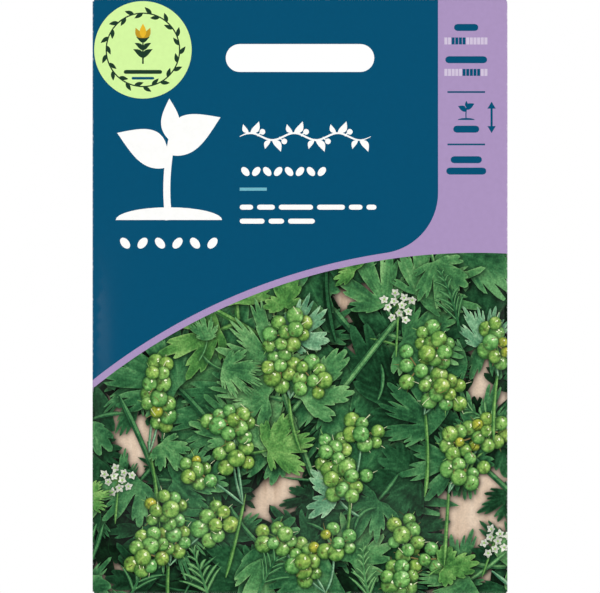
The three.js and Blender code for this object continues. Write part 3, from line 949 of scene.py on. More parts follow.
def sticker_graphics(look):
    """The sticker's print, about its middle: a wreath of small leaves round a sprig with a golden bud, and
    two bars under it."""
    ring, wreath = 8.4, 26
    upright = np.pi / 2
    leaves = []
    for k in range(wreath):
        turn = 2 * np.pi * (k + 0.5) / wreath
        leaves.append(drop_leaf(ring * unit(turn), turn + upright + 0.55 * (-1) ** k, 2.3, 0.95, 0.0, 9))
    for start in (0, np.pi):
        leaves.append(ribbon(arc_points(np.zeros(2), ring, start, start + np.pi, 37), 0.3))
    leaves += sprig((0, -3.2), upright, 6.2, pairs=3, leaf=3.0, width=0.4)
    leaves.append(pill(-4.4, -5.5, 4.4, -4.6, 6))
    foot = (0, 2.7)
    outer_petals = [drop_leaf(foot, upright + side * 0.62, 2.9, 1.35, 0.1 * side) for side in (-1, 1)]
    shapes = flat([oval((0, 0), 13, 13, 64)], look.sticker) + flat(leaves, look.sticker_ink)
    shapes += flat([pill(-2.6, -6.8, 2.6, -6.2, 6)], look.field) + flat(outer_petals, 0.82 * look.bud)
    return shapes + flat([drop_leaf(foot, upright, 3.3, 1.5)], look.bud)


# Labelling and painting of points


def inside(points, outline):
    """Even-odd test: how many edges of the outline a ray to the right crosses."""
    result = np.zeros(len(points), bool)
    ax, ay = outline.T
    bx, by = np.roll(ax, -1), np.roll(ay, -1)
    step = max(1, 4_000_000 // len(outline))
    with np.errstate(divide="ignore", invalid="ignore"):
        slope = (bx - ax) / (by - ay)
        for s in range(0, len(points), step):
            x, y = points[s : s + step, :1], points[s : s + step, 1:]
            crossed = ((ay > y) != (by > y)) & (x < (y - ay) * slope + ax)
            result[s : s + step] = crossed.sum(1) % 2 == 1
    return result


def topmost(points, shapes):
    """Which shape shows at each point, the last of those that cover it, or -1 where none does."""
    top = np.full(len(points), -1)
    rising = np.argsort(points[:, 0])
    across = points[rising, 0]
    for k in range(len(shapes) - 1, -1, -1):
        shape = shapes[k]
        first, last = np.searchsorted(across, (shape.low[0], shape.high[0]))
        near = rising[first:last]
        level = points[near, 1]
        near = near[(top[near] < 0) & (level >= shape.low[1]) & (level <= shape.high[1])]
        if len(near):
            top[near[inside(points[near], shape.outline)]] = k
    return top


class LightMap:
    """How much light reaches the level that is being painted: 1 in the open, less beside what lies above
    it."""

    PITCH = 0.25

    def __init__(self, low, high):
        self.low = np.array(low, float)
        self.size = np.ceil((np.array(high) - low) / self.PITCH).astype(int) + 1
        self.light = np.ones(self.size)

    def read(self, points):
        """The light at each point, blended between the four cells round it."""
        at = np.clip((points - self.low) / self.PITCH, 0, self.size - 1.001)
        i, j = at.astype(int).T
        s, t = (at - np.floor(at)).T
        low = self.light[i, j] * (1 - s) + self.light[i + 1, j] * s
        high = self.light[i, j + 1] * (1 - s) + self.light[i + 1, j + 1] * s
        return low * (1 - t) + high * t

    def blur(self, count, spread):
        """A square matrix that blurs a column of cells by a bell curve."""
        k = np.arange(count)
        bell = np.exp(-0.5 * ((k[:, None] - k) * self.PITCH / spread) ** 2)
        return bell * self.PITCH / (spread * math.sqrt(2 * math.pi))

    def darken(self, outline, strength, spread):
        """Takes light away under a shape and round it, a little to the lower right."""
        pad = 3 * spread + 1
        low = np.clip(((outline.min(0) - pad - self.low) / self.PITCH).astype(int), 0, self.size)
        high = np.clip(((outline.max(0) + pad - self.low) / self.PITCH).astype(int) + 1, 0, self.size)
        if (high - low < 2).any():
            return
        i, j = np.meshgrid(np.arange(low[0], high[0]), np.arange(low[1], high[1]), indexing="ij")
        shift = np.array([0.25, -0.4]) * spread
        where = np.stack([i.ravel(), j.ravel()], 1) * self.PITCH + self.low - shift
        mask = inside(where, outline).astype(float).reshape(i.shape)
        mask = self.blur(mask.shape[0], spread) @ mask @ self.blur(mask.shape[1], spread)
        self.light[low[0] : high[0], low[1] : high[1]] *= 1 - strength * mask


def painted(points, top, shapes, light):
    """The display colour of each point, from the shape it belongs to, and its share of grain, which only the
    picture has. The shapes are gone through from the top down, so that the light has lost what lies above
    each of them."""
    colour = np.broadcast_to(WHITE, (len(points), 3)).copy()
    grain = np.zeros(len(points))
    order = np.argsort(top, kind="stable")
    bounds = np.searchsorted(top[order], np.arange(len(shapes) + 1))
    for k in range(len(shapes) - 1, -1, -1):
        shape = shapes[k]
        mine = order[bounds[k] : bounds[k + 1]]
        if len(mine) and callable(shape.ink):
            colour[mine] = shape.ink(points[mine]) * light.read(points[mine])[:, None]
            grain[mine] = 0.3 if shape.ink is wood_ink else 1
        elif len(mine):
            colour[mine] = shape.ink
        if shape.shadow:
            light.darken(shape.outline, shape.shadow, shape.spread)
            light.darken(shape.outline, 0.4 * shape.shadow, 0.35 * shape.spread)
    return np.clip(colour, 0, 1), grain


def to_linear(colour):
    """Display values to the linear ones that Blender keeps."""
    return np.where(colour <= 0.04045, colour / 12.92, ((colour + 0.055) / 1.055) ** 2.4)


# Meshes

# How far apart the fill points stand: in the picture, in the plain graphics, and on the bare side
PICTURE_PITCH, PLAIN_PITCH, BARE_PITCH = 0.32, 1.8, 2.6
# Shares of the bake's image: what the print may fill, the bare side's height and foot, and the edge left free
PRINT_SHARE = np.array([0.985, 0.83])
BARE_SHARE, BARE_FOOT = 0.14, 0.852
FREE_EDGE = 0.005


def staggered(low, high, pitch, rng):
    """Points in staggered rows over a rectangle, each moved a little at random."""
    rows = np.arange(low[1], high[1], pitch * math.sqrt(3) / 2)
    x, y = np.meshgrid(np.arange(low[0], high[0], pitch), rows)
    x = x + (np.arange(len(rows)) % 2 * pitch / 2)[:, None]
    points = np.stack([x.ravel(), y.ravel()], 1)
    return points + rng.uniform(-0.18, 0.18, points.shape) * pitch


def clear_of(points, starts, ends, gap):
    """The points that stand about gap or more from every line, tested on a raster of square cells."""
    count = np.ceil(np.hypot(*(ends - starts).T) / (0.7 * gap)).astype(int) + 1
    which = np.repeat(np.arange(len(starts)), count)
    t = places_in_runs(count) / np.maximum(count - 1, 1)[which]
    on_lines = starts[which] + (ends - starts)[which] * t[:, None]

    def cell(place):
        """One number for the cell that a point lies in."""
        i, j = np.floor(place / gap).astype(np.int64).T
        return i * 1_000_003 + j

    taken = np.unique(cell(on_lines))
    clear = np.ones(len(points), bool)
    for step in np.array([(0, 0), (0.5, 0.5), (0.5, -0.5), (-0.5, 0.5), (-0.5, -0.5)]) * gap:
        clear &= ~np.isin(cell(points + step), taken)
    return points[clear]


def triangulated(points, edges):
    """Delaunay triangles of flat points that keep the given edges. Edges that cross get a new point there.
    Returns the points, the triangles, anticlockwise, and where each given point went."""
    given = [Vector(point) for point in points.tolist()]
    out, _, faces, origins, _, _ = delaunay_2d_cdt(given, edges.tolist(), [], 0, 1e-5)
    went = np.full(len(points), -1)
    for number, sources in enumerate(origins):
        went[sources] = number
    points = np.array([tuple(point) for point in out])
    faces = np.array(faces)
    a, b, c = (points[faces[:, k]] for k in range(3))
    return points, faces if np.cross(b - a, c - a).sum() > 0 else faces[:, ::-1], went


def kept(points, faces, outline, holes):
    """The triangles whose middles lie inside the outline and outside the holes."""
    middles = points[faces].mean(1)
    keep = inside(middles, outline)
    for hole in holes:
        keep &= ~inside(middles, hole)
    return faces[keep]


def open_edges(faces):
    """The edges that only one triangle has, in its own direction."""
    edges = np.concatenate([faces[:, [0, 1]], faces[:, [1, 2]], faces[:, [2, 0]]])
    big = faces.max() + 1
    return edges[~np.isin(edges[:, 0] * big + edges[:, 1], edges[:, 1] * big + edges[:, 0])]


def closed_lines(outlines):
    """Start and end points of the edges of closed outlines."""
    return np.concatenate(outlines), np.concatenate([np.roll(outline, -1, 0) for outline in outlines])


def visible_lines(shapes):
    """Start and end points of those outline edges that no later shape hides."""
    starts, ends = closed_lines([shape.outline for shape in shapes])
    own = np.repeat(np.arange(len(shapes)), [len(shape.outline) for shape in shapes])
    seen = (topmost((starts + ends) / 2, shapes) <= own) | (topmost(starts, shapes) <= own)
    return starts[seen], ends[seen]


def numbered(starts, ends):
    """The distinct points of a set of lines, and the lines as pairs of their numbers."""
    points, number = np.unique(np.round(np.concatenate([starts, ends]), 4), axis=0, return_inverse=True)
    edges = np.sort(number.reshape(2, -1).T, 1)
    return points, np.unique(edges[edges[:, 0] != edges[:, 1]], axis=0)


def joined(*lines):
    """Several sets of lines as one."""
    starts, ends = zip(*lines)
    return np.concatenate(starts), np.concatenate(ends)


@dataclass
class Ply:
    """A printed sheet before it is folded: its outline, holes and guide lines, fill points for both skins,
    the shapes of its print and the light they are painted in, and where a flat point at a depth goes in
    space."""

    outline: np.ndarray
    holes: list
    guides: tuple
    fill: list
    bare_fill: np.ndarray
    shapes: list
    light: object
    place: object
    thickness: float


def bare_skin(ply, rim_points, rim_edges):
    """The bare side of a ply, coarser than the printed one: its points, its triangles, and where the rim's
    points went."""
    guide_points, guide_edges = numbered(*ply.guides)
    apart = ((guide_points[:, None] - rim_points) ** 2).sum(2)
    number = np.where(apart.min(1) < 1e-6, apart.argmin(1), np.arange(len(guide_points)) + len(rim_points))
    rim_lines = tuple(rim_points[rim_edges.T])
    fill = clear_of(ply.bare_fill, *joined(rim_lines, ply.guides), 0.6)
    given = np.concatenate([rim_points, guide_points, fill])
    points, faces, went = triangulated(given, np.concatenate([rim_edges, number[guide_edges]]))
    return points, kept(points, faces, ply.outline, ply.holes)[:, ::-1], went


def bake_places(ply, printed, bare, rim_corners):
    """Where the faces' corners lie on the bake's image: the print as large as fits from the lower left, the
    bare side small above it, and the rim as a narrow strip beside that."""
    low = ply.outline.min(0)
    span = ply.outline.max(0) - low
    printed = (printed - low) * (PRINT_SHARE / span).min() + FREE_EDGE
    bare = (bare - low) * (BARE_SHARE / span[1]) + (FREE_EDGE, BARE_FOOT)
    number = np.arange(rim_corners)
    rim = np.stack([0.30 + 0.68 * (number / rim_corners), 0.90 + 0.04 * (number % 3 == 0)], 1)
    return np.concatenate([printed, bare, rim])


def printed_mesh(name, ply, materials):
    """A closed mesh of a printed ply. The printed skin is triangulated so that the outlines of the print are
    edges of triangles, and each triangle's corners take the ink of the shape that it lies in. The bare skin
    shares the rim's points, and the rim joins the two."""
    lines = joined(closed_lines([ply.outline] + ply.holes), ply.guides, visible_lines(ply.shapes))
    points, edges = numbered(*lines)
    fill = [clear_of(part, *lines, gap) for part, gap in ply.fill]
    points, faces, _ = triangulated(np.concatenate([points] + fill), edges)
    faces = kept(points, faces, ply.outline, ply.holes)
    top = topmost(points[faces].mean(1), ply.shapes)
    ink, grain = painted(points[faces].reshape(-1, 2), np.repeat(top, 3), ply.shapes, ply.light)

    rim = open_edges(faces)
    on_rim = np.unique(rim)
    rim_edges = np.searchsorted(on_rim, rim)
    bare, bare_faces, went = bare_skin(ply, points[on_rim], rim_edges)

    used, numbers = np.unique(faces, return_inverse=True)
    faces = numbers.reshape(-1, 3)
    points = points[used]
    a, b = np.searchsorted(used, rim).T
    c, d = (went[rim_edges] + len(used)).T
    rim_faces = np.concatenate([np.stack([c, d, b], 1), np.stack([c, b, a], 1)])
    all_faces = np.concatenate([faces, bare_faces + len(used), rim_faces])
    places = [ply.place(points, 0.0), ply.place(bare, ply.thickness)]
    piece = mesh_piece(name, np.concatenate(places), all_faces)

    mesh = piece.data
    colour = np.ones((len(all_faces) * 3, 4))
    colour[: len(ink), :3] = to_linear(ink)
    colour[: len(ink), 3] = grain
    mesh.color_attributes.new("print", "FLOAT_COLOR", "CORNER").data.foreach_set("color", colour.ravel())
    corners = (points[faces].reshape(-1, 2), bare[bare_faces].reshape(-1, 2))
    bake = bake_places(ply, *corners, len(rim_faces) * 3)
    mesh.uv_layers.new(name="OFBake").data.foreach_set("uv", bake.ravel())
    for material in materials:
        mesh.materials.append(material)
    mesh.polygons.foreach_set("material_index", np.repeat([0, 1], [len(faces), len(all_faces) - len(faces)]))
    mesh.set_sharp_from_angle(angle=math.radians(50))
    mesh.update()
    return piece


def mesh_piece(name, points, faces):
    """A new object with a smooth mesh, from points in millimetres, at the origin."""
    mesh = bpy.data.meshes.new(name)
    mesh.from_pydata((np.asarray(points) * MM).tolist(), [], np.asarray(faces).tolist())
    mesh.polygons.foreach_set("use_smooth", np.ones(len(mesh.polygons), bool))
    mesh.update()
    piece = bpy.data.objects.new(name, mesh)
    bpy.context.scene.collection.objects.link(piece)
    return piece


def grid_faces(rows, columns, close_rows=False):
    """Quads of a grid of points. With close_rows each row closes on itself."""
    i, j = np.meshgrid(np.arange(rows - 1), np.arange(columns if close_rows else columns - 1), indexing="ij")
    after = (j + 1) % columns
    low, high = i * columns, (i + 1) * columns
    return np.stack([low + j, low + after, high + after, high + j], -1).reshape(-1, 4)


def slab_piece(name, outer, inner, material):
    """A closed slab between two grids of points. Along a row and then up turns anticlockwise, seen from
    outside."""
    rows, columns = outer.shape[:2]
    count = rows * columns
    faces = grid_faces(rows, columns)
    number = np.arange(count).reshape(rows, columns)
    loop = np.concatenate([number[0, :-1], number[:-1, -1], number[-1, :0:-1], number[:0:-1, 0]])
    after = np.roll(loop, -1)
    rim = np.stack([loop + count, after + count, after, loop], 1)
    points = np.concatenate([outer.reshape(-1, 3), inner.reshape(-1, 3)])
    piece = mesh_piece(name, points, np.concatenate([faces, faces[:, ::-1] + count, rim]))
    piece.data.set_sharp_from_angle(angle=math.radians(60))
    piece.data.materials.append(material)
    return piece


# The blank of the printed sheet

# The longest edge of its outline and its guides
BLANK_SPACING = 2.0


def rounded(corners, radii):
    """A closed outline through corners, each rounded by its radius, with points along its sides."""
    corners = np.asarray(corners, float)
    parts = []
    for before, corner, after, radius in zip(np.roll(corners, 1, 0), corners, np.roll(corners, -1, 0), radii):
        if radius == 0:
            parts.append([corner])
            continue
        back = (before - corner) / np.hypot(*(before - corner))
        ahead = (after - corner) / np.hypot(*(after - corner))
        half = math.acos(np.clip(back @ ahead, -1, 1)) / 2
        cut = radius / math.tan(half)
        parts.append(bow(corner + back * cut, corner, corner + ahead * cut, 8))
    return divided(np.concatenate(parts), BLANK_SPACING)


def blank_outline():
    """The cut edge of the blank: the three panels side by side with a flap at either end of the front one."""
    inset = FLAP_CORNER_INSET
    corners = [
        (FRONT_LEFT, PANEL_LOW),
        (FRONT_LEFT + inset, BOTTOM_FLAP_LOW),
        (FRONT_RIGHT - inset, BOTTOM_FLAP_LOW),
        (FRONT_RIGHT, PANEL_LOW),
        (SIDE_FLAP_RIGHT, PANEL_LOW),
        (SIDE_FLAP_RIGHT, PANEL_HIGH),
        (FRONT_RIGHT, PANEL_HIGH),
        (FRONT_RIGHT - inset, TOP_FLAP_HIGH),
        (FRONT_LEFT + inset, TOP_FLAP_HIGH),
        (FRONT_LEFT, PANEL_HIGH),
        (BACK_LEFT, PANEL_HIGH),
        (BACK_LEFT, PANEL_LOW),
    ]
    flap = FLAP_CORNER_RADIUS
    return rounded(corners, [0, flap, flap, 0, 0.8, 0.8, 0, flap, flap, 0, 0.5, 0.5])


def slot_outline(middle, low):
    """The slot on the blank: straight sides with half-round ends."""
    radius = SLOT_HEIGHT / 2
    straight = SLOT_WIDTH / 2 - radius
    level = low + radius
    right = arc_points(np.array([middle + straight, level]), radius, -np.pi / 2, np.pi / 2, 17)
    left = arc_points(np.array([middle - straight, level]), radius, np.pi / 2, 1.5 * np.pi, 17)
    return divided(np.concatenate([right, left]), BLANK_SPACING)


def slot_holes():
    """The slot where it goes through the front, the back and the top flap."""
    low = HEIGHT - SLOT_DROP - SLOT_HEIGHT
    back_middle = BACK_RIGHT - (HALF_WIDTH - FRONT_LEFT)
    flap_low = TOP_FLAP_LOW + PANEL_HIGH - low - SLOT_HEIGHT
    return [slot_outline(HALF_WIDTH, low), slot_outline(back_middle, low), slot_outline(HALF_WIDTH, flap_low)]


def fold_guides():
    """Lines along each fold at every eighth of a half turn, one just before and after it, and one where the
    pillow starts to rise."""
    turns = np.linspace(0, np.pi, 9)
    beside = 0.25
    starts, ends = [], []

    def line(a, b):
        """Adds a straight line, cut evenly into edges no longer than the outline's."""
        a, b = np.array(a, float), np.array(b, float)
        t = np.linspace(0, 1, max(2, math.ceil(np.hypot(*(b - a)) / BLANK_SPACING) + 1))[:, None]
        path = a + (b - a) * t
        starts.append(path[:-1])
        ends.append(path[1:])

    left = [*(FRONT_LEFT - turns * LEFT_RADIUS), FRONT_LEFT + beside, BACK_RIGHT - beside]
    right = [*(FRONT_RIGHT + turns * RIGHT_RADIUS), FRONT_RIGHT - beside, SIDE_FLAP_LEFT + beside]
    for u in left + right:
        line((u, PANEL_LOW), (u, PANEL_HIGH))
    for end, edge, flap in ((1, PANEL_HIGH, TOP_FLAP_HIGH), (-1, PANEL_LOW, BOTTOM_FLAP_LOW)):
        for run in [*(turns * END_RADIUS), -beside, np.pi * END_RADIUS + beside]:
            inset = FLAP_CORNER_INSET * max(run, 0) / abs(flap - edge)
            line((FRONT_LEFT + inset, edge + end * run), (FRONT_RIGHT - inset, edge + end * run))
    line((BACK_LEFT + beside, PILLOW_FOOT), (SIDE_FLAP_RIGHT - beside, PILLOW_FOOT))
    return np.concatenate(starts), np.concatenate(ends)


def sheet_fill():
    """Fill points of the printed skin: close together in the picture, wide apart elsewhere."""
    rng = np.random.default_rng(9)

    def in_picture(points, margin):
        """Which points are in the picture, with a margin round its sides and less one under the arc."""
        below = np.hypot(*(points - ARC_MIDDLE).T) < ARC_RADIUS - margin
        return below & (points[:, 0] > -margin) & (points[:, 0] < WIDTH + margin) & (points[:, 1] > -margin)

    fine = staggered((-0.2, -0.2), (WIDTH + 0.2, ARC_MIDDLE[1] + ARC_RADIUS), PICTURE_PITCH, rng)
    coarse = staggered(BLANK_LOW, BLANK_HIGH, PLAIN_PITCH, rng)
    return [(fine[in_picture(fine, 0.0)], 0.5 * PICTURE_PITCH), (coarse[~in_picture(coarse, 0.2)], 0.5)]


def printed_sheet(look):
    """The folded sheet with its print outside and bare paper inside."""
    front = herb_picture() + front_grounds(look) + field_marks(look) + strip_marks(look)
    ply = Ply(
        outline=blank_outline(),
        holes=slot_holes(),
        guides=fold_guides(),
        fill=sheet_fill(),
        bare_fill=staggered(BLANK_LOW, BLANK_HIGH, BARE_PITCH, np.random.default_rng(4)),
        shapes=front + back_graphics(look),
        light=LightMap(PICTURE_LOW, PICTURE_HIGH),
        place=folded,
        thickness=PAPER,
    )
    piece = printed_mesh("printed_sheet", ply, [coated_print(), bare_paper()])
    return keep(piece, "paper_sheet", "printed_paper")


def keep(piece, node, slot):
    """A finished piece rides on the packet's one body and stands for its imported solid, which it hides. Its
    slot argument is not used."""
    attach(piece, "root")
    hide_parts(node)
    return piece


# Sticker, glue, sachet and seeds

# How far apart the sticker's fill points stand on its print and on its bare side
STICKER_PITCH, STICKER_BARE_PITCH = 0.9, 2.0
# Glue: about the size of a face, how far the strip's edges wander, and over what length
GLUE_FACE, GLUE_WANDER, GLUE_WANDER_LENGTH = 1.5, 0.25, 5


def sticker(look):
    """The round sticker, which follows the header's bend."""
    low, high = box_mm("round_sticker")
    middle = (low + high) / 2
    radius = (high[0] - low[0]) / 2
    thickness = high[1] - low[1]

    def place(flat_points, depth):
        """Where a point of the flat label goes, at a depth under its face."""
        x, z = flat_points.T + middle[[0, 2], None]
        return np.stack([x, FRONT_OUT - thickness + depth + curl(x, z - BOTTOM), z], 1)

    nothing = np.zeros((0, 2))
    square = (np.full(2, -radius), np.full(2, radius))
    ply = Ply(
        outline=arc_points(np.zeros(2), radius, 0, 2 * np.pi, 97)[:-1],
        holes=[],
        guides=(nothing, nothing),
        fill=[(staggered(*square, STICKER_PITCH, np.random.default_rng(6)), STICKER_PITCH / 3)],
        bare_fill=staggered(*square, STICKER_BARE_PITCH, np.random.default_rng(8)),
        shapes=sticker_graphics(look),
        light=None,
        place=place,
        thickness=thickness,
    )
    piece = printed_mesh("corner_sticker", ply, [sticker_print(), bare_paper()])
    return keep(piece, "round_sticker", "sticker_paper")


def on_back(x, height, level):
    """Points of a ply of the back at a level, lifted by the pillow and the relief and bent with the
    header."""
    shape = x.shape
    x, height = x.ravel(), height.ravel()
    y = level + pillow(x, height) + relief(x, height, False) + curl(x, height)
    return np.stack([x, y, BOTTOM + height], 1).reshape(*shape, 3)


def glue_strip(name, node, inner, outer):
    """A dried strip of glue between two plies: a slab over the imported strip's place, its edges a little
    uneven."""
    low, high = box_mm(node)
    columns = max(4, round((high[0] - low[0]) / GLUE_FACE))
    rows = max(4, round((high[2] - low[2]) / GLUE_FACE))
    s, t = np.meshgrid(np.linspace(1, 0, columns + 1), np.linspace(0, 1, rows + 1))
    x = low[0] + s * (high[0] - low[0])
    height = low[2] - BOTTOM + t * (high[2] - low[2])
    places = np.stack([x.ravel(), height.ravel()], 1)
    wander = noise(places, GLUE_WANDER_LENGTH, 70).reshape(x.shape) * GLUE_WANDER
    x = x - wander * np.abs(2 * s - 1) ** 8 * np.sign(2 * s - 1)
    height = height - wander * np.abs(2 * t - 1) ** 8 * np.sign(2 * t - 1)
    piece = slab_piece(name, on_back(x, height, outer), on_back(x, height, inner), dried_glue())
    return keep(piece, node, "dried_glue")


# The sachet inside, as height above the packet's bottom edge
SEAL = 6
FILM = 0.1
SACHET_DEPTH = 2.15
SACHET_SIDE_POWER = 6
SACHET_FULL_FROM, SACHET_FULL_TO = 30, 58
WRINKLE_HEIGHT, WRINKLE_LENGTH = 0.35, 5


def places_along(low, high):
    """Places along a side of the sachet: close together in its two seals, for the crimps, and wider apart
    between."""
    foot = np.linspace(low, low + SEAL, 26)[:-1]
    inner = np.linspace(low + SEAL, high - SEAL, 70)
    head = np.linspace(high - SEAL, high, 26)[1:]
    return np.concatenate([foot, inner, head])


def sachet_film(name, node, side, crimp_pitch, crimp_depth):
    """A film of the sachet: a flat-topped pillow inside the four seals, fine wrinkles round its edge, and
    crimped seals whose sine ridges both films share."""
    low, high = box_mm(node)
    half = (high[0] - low[0]) / 2
    foot, head = low[2] - BOTTOM, high[2] - BOTTOM
    across = places_along(-half, half)
    x, height = np.meshgrid(across if side < 0 else across[::-1], places_along(foot, head))
    wide = np.clip(1 - np.abs(x / (half - SEAL)) ** SACHET_SIDE_POWER, 0, 1)
    full = wide * plateau(height, foot + SEAL, SACHET_FULL_FROM, SACHET_FULL_TO, head - SEAL)
    places = np.stack([x.ravel(), height.ravel()], 1)
    wrinkles = clouds(places, WRINKLE_LENGTH, 90 + side).reshape(x.shape) * WRINKLE_HEIGHT * full * (1 - full)
    in_side_seal = smooth(half - SEAL - 0.3, half - SEAL + 0.3, np.abs(x))
    in_end_seal = smooth(head - SEAL - 0.3, head - SEAL + 0.3, np.maximum(height, foot + head - height))
    ridges = np.sin(2 * np.pi * x / crimp_pitch) * in_side_seal * (1 - in_end_seal)
    ridges += np.sin(2 * np.pi * height / crimp_pitch) * in_end_seal
    middle = crimp_depth / 2 * ridges

    def face(thickness):
        """The film's inner face, or its outer one at its thickness."""
        y = middle + side * (thickness + SACHET_DEPTH * full + wrinkles)
        return np.stack([x, y, BOTTOM + height], -1)

    return keep(slab_piece(name, face(FILM), face(0.0), foil()), node, "foil_laminate")


def seed_layer(radius, rib_depth):
    """The seeds, one layer in the sachet's foot. Each is a ball with ten upright ribs, a sine round its
    middle that fades towards the poles, and a short point on top. They lie turned at random."""
    rng = np.random.default_rng(7)
    columns, rows = 20, 9
    lifts = np.linspace(-np.pi / 2, np.pi / 2, rows + 2)[1:-1]
    lift, turn = np.meshgrid(lifts, np.arange(columns) * 2 * np.pi / columns, indexing="ij")
    r = 1 + rib_depth * np.cos(SEED_RIBS * turn) * np.cos(lift) + 0.1 * smooth(1.0, 1.45, lift)
    out = r * np.cos(lift)
    ball = np.stack([out * np.cos(turn), out * np.sin(turn), r * np.sin(lift)], -1)
    ball = np.concatenate([ball.reshape(-1, 3), [(0, 0, end) for end in SEED_ENDS]])
    quads = grid_faces(rows, columns, close_rows=True)
    ring = np.arange(columns)
    after = (ring + 1) % columns
    foot, tip = rows * columns, rows * columns + 1
    last = (rows - 1) * columns
    faces = np.concatenate([
        quads[:, :3],
        quads[:, [0, 2, 3]],
        np.stack([after, ring, np.full(columns, foot)], 1),
        np.stack([last + ring, last + after, np.full(columns, tip)], 1),
    ])
    places = seed_places()
    count = len(places)
    turns = rng.normal(size=(count, 4))
    turns /= np.linalg.norm(turns, axis=1)[:, None]
    w, x, y, z = turns.T
    rows_of = [
        [1 - 2 * (y * y + z * z), 2 * (x * y - w * z), 2 * (x * z + w * y)],
        [2 * (x * y + w * z), 1 - 2 * (x * x + z * z), 2 * (y * z - w * x)],
        [2 * (x * z - w * y), 2 * (y * z + w * x), 1 - 2 * (x * x + y * y)],
    ]
    turned_balls = np.einsum("ijn,pj->npi", np.array(rows_of), ball)
    sizes = radius * rng.uniform(0.9, 1.0, count)
    middles = np.stack([places[:, 0], rng.uniform(-0.15, 0.15, count), BOTTOM + places[:, 1]], 1)
    points = turned_balls * sizes[:, None, None] + middles[:, None]
    all_faces = faces[None] + (np.arange(count) * len(ball))[:, None, None]
    piece = mesh_piece("seed_layer", points.reshape(-1, 3), all_faces.reshape(-1, 3))
    piece.data.materials.append(seed_husk())
    return keep(piece, "seed_heap", "seed_husk")


# Finishes


def new_material(name, **values):
    """A material with one Principled shader, whose sockets take the given values. Returns its tree and the
    shader."""
    material = bpy.data.materials.new(name)
    material.use_nodes = True
    tree = material.node_tree
    shader = next(node for node in tree.nodes if node.type == "BSDF_PRINCIPLED")
    for socket, value in values.items():
        shader.inputs[socket.replace("_", " ")].default_value = value
    return material, tree, shader


def add(tree, kind, inputs, **settings):
    """Adds a node. An input is a value, or another node's output to link."""
    node = tree.nodes.new("ShaderNode" + kind)
    for name, value in settings.items():
        setattr(node, name, value)
    for name, value in inputs.items():
        if isinstance(value, bpy.types.NodeSocket):
            tree.links.new(value, node.inputs[name])
        else:
            node.inputs[name].default_value = value
    return node


def speckle(tree, scale, low, high, detail=3.0, stretch=(1, 1, 1)):
    """Noise on the piece's own coordinates, spread between two values. scale is in cells per metre."""
    place = add(tree, "TexCoord", {}).outputs["Object"]
    place = add(tree, "Mapping", {"Vector": place, "Scale": stretch}).outputs["Vector"]
    cloud = add(tree, "TexNoise", {"Vector": place, "Scale": scale, "Detail": detail})
    spread = {"Value": cloud.outputs["Fac"], "From Min": 0.3, "From Max": 0.7, "To Min": low, "To Max": high}
    return add(tree, "MapRange", spread).outputs["Result"]


def tinted(tree, colour, amount):
    """A colour multiplied by an amount, which makes it lighter or darker."""
    mix = add(tree, "Mix", {0: 1.0, 6: colour, 7: amount}, data_type="RGBA", blend_type="MULTIPLY")
    return mix.outputs[2]


def link_finish(tree, shader, colour, roughness, height, strength, distance):
    """Gives a shader its colour, its roughness and small relief from a height between 0 and 1."""
    bump = add(tree, "Bump", {"Height": height, "Strength": strength, "Distance": distance})
    tree.links.new(colour, shader.inputs["Base Color"])
    tree.links.new(roughness, shader.inputs["Roughness"])
    tree.links.new(bump.outputs["Normal"], shader.inputs["Normal"])


def printed_finish(name, worn_from, worn_to, **values):
    """Ink on coated paper: the print's own colours with a faint mottle, a fine grain in the picture, a trace
    of white fibre where the sheet is folded, and a fine tooth in the gloss."""
    material, tree, shader = new_material(name, **values)
    ink = add(tree, "Attribute", {}, attribute_name="print")
    grain = add(tree, "Mix", {0: ink.outputs["Alpha"], 2: 1.0, 3: speckle(tree, 2400, 0.69, 1.25, 2.0)})
    grained = tinted(tree, ink.outputs["Color"], grain.outputs[0])
    mottled = tinted(tree, grained, speckle(tree, 900, 0.975, 1.015))
    place = add(tree, "SeparateXYZ", {"Vector": add(tree, "TexCoord", {}).outputs["Object"]})
    aside = add(tree, "Math", {0: place.outputs["X"]}, operation="ABSOLUTE").outputs[0]
    rise = {"Value": aside, "From Min": worn_from * MM, "From Max": worn_to * MM}
    edge = add(tree, "MapRange", rise).outputs["Result"]
    patches = speckle(tree, 1600, -0.9, 0.75)
    rubbed = add(tree, "Math", {0: edge, 1: patches}, operation="MULTIPLY", use_clamp=True)
    worn = add(tree, "Mix", {0: rubbed.outputs[0], 6: mottled, 7: (0.8, 0.82, 0.82, 1)}, data_type="RGBA")
    tooth = speckle(tree, 5000, 0, 1)
    link_finish(tree, shader, worn.outputs[2], speckle(tree, 2200, 0.34, 0.44), tooth, 0.12, 0.00002)
    return material


def coated_print():
    """The sheet's printed side."""
    gloss = {"Specular_IOR_Level": 0.03, "Coat_Weight": 0.3, "Coat_Roughness": 0.18}
    return printed_finish("coated_print", HALF_WIDTH - 0.3, HALF_WIDTH, **gloss)


def sticker_print():
    """The sticker's printed side, a little glossier than the sheet."""
    gloss = {"Specular_IOR_Level": 0.1, "Coat_Weight": 0.7, "Coat_Roughness": 0.12}
    return printed_finish("sticker_print", HALF_WIDTH, HALF_WIDTH + 1, **gloss)


def bare_paper():
    """The sheet's unprinted side and its cut edges: white fibre, dull, with faint cloudiness."""
    material, tree, shader = new_material("bare_paper", Specular_IOR_Level=0.3)
    colour = tinted(tree, (0.86, 0.85, 0.82, 1), speckle(tree, 700, 0.95, 1.02, 6))
    fibre = speckle(tree, 4000, 0, 1, 5, (1, 1, 0.4))
    link_finish(tree, shader, colour, speckle(tree, 3000, 0.75, 0.9), fibre, 0.4, 0.00003)
    return material


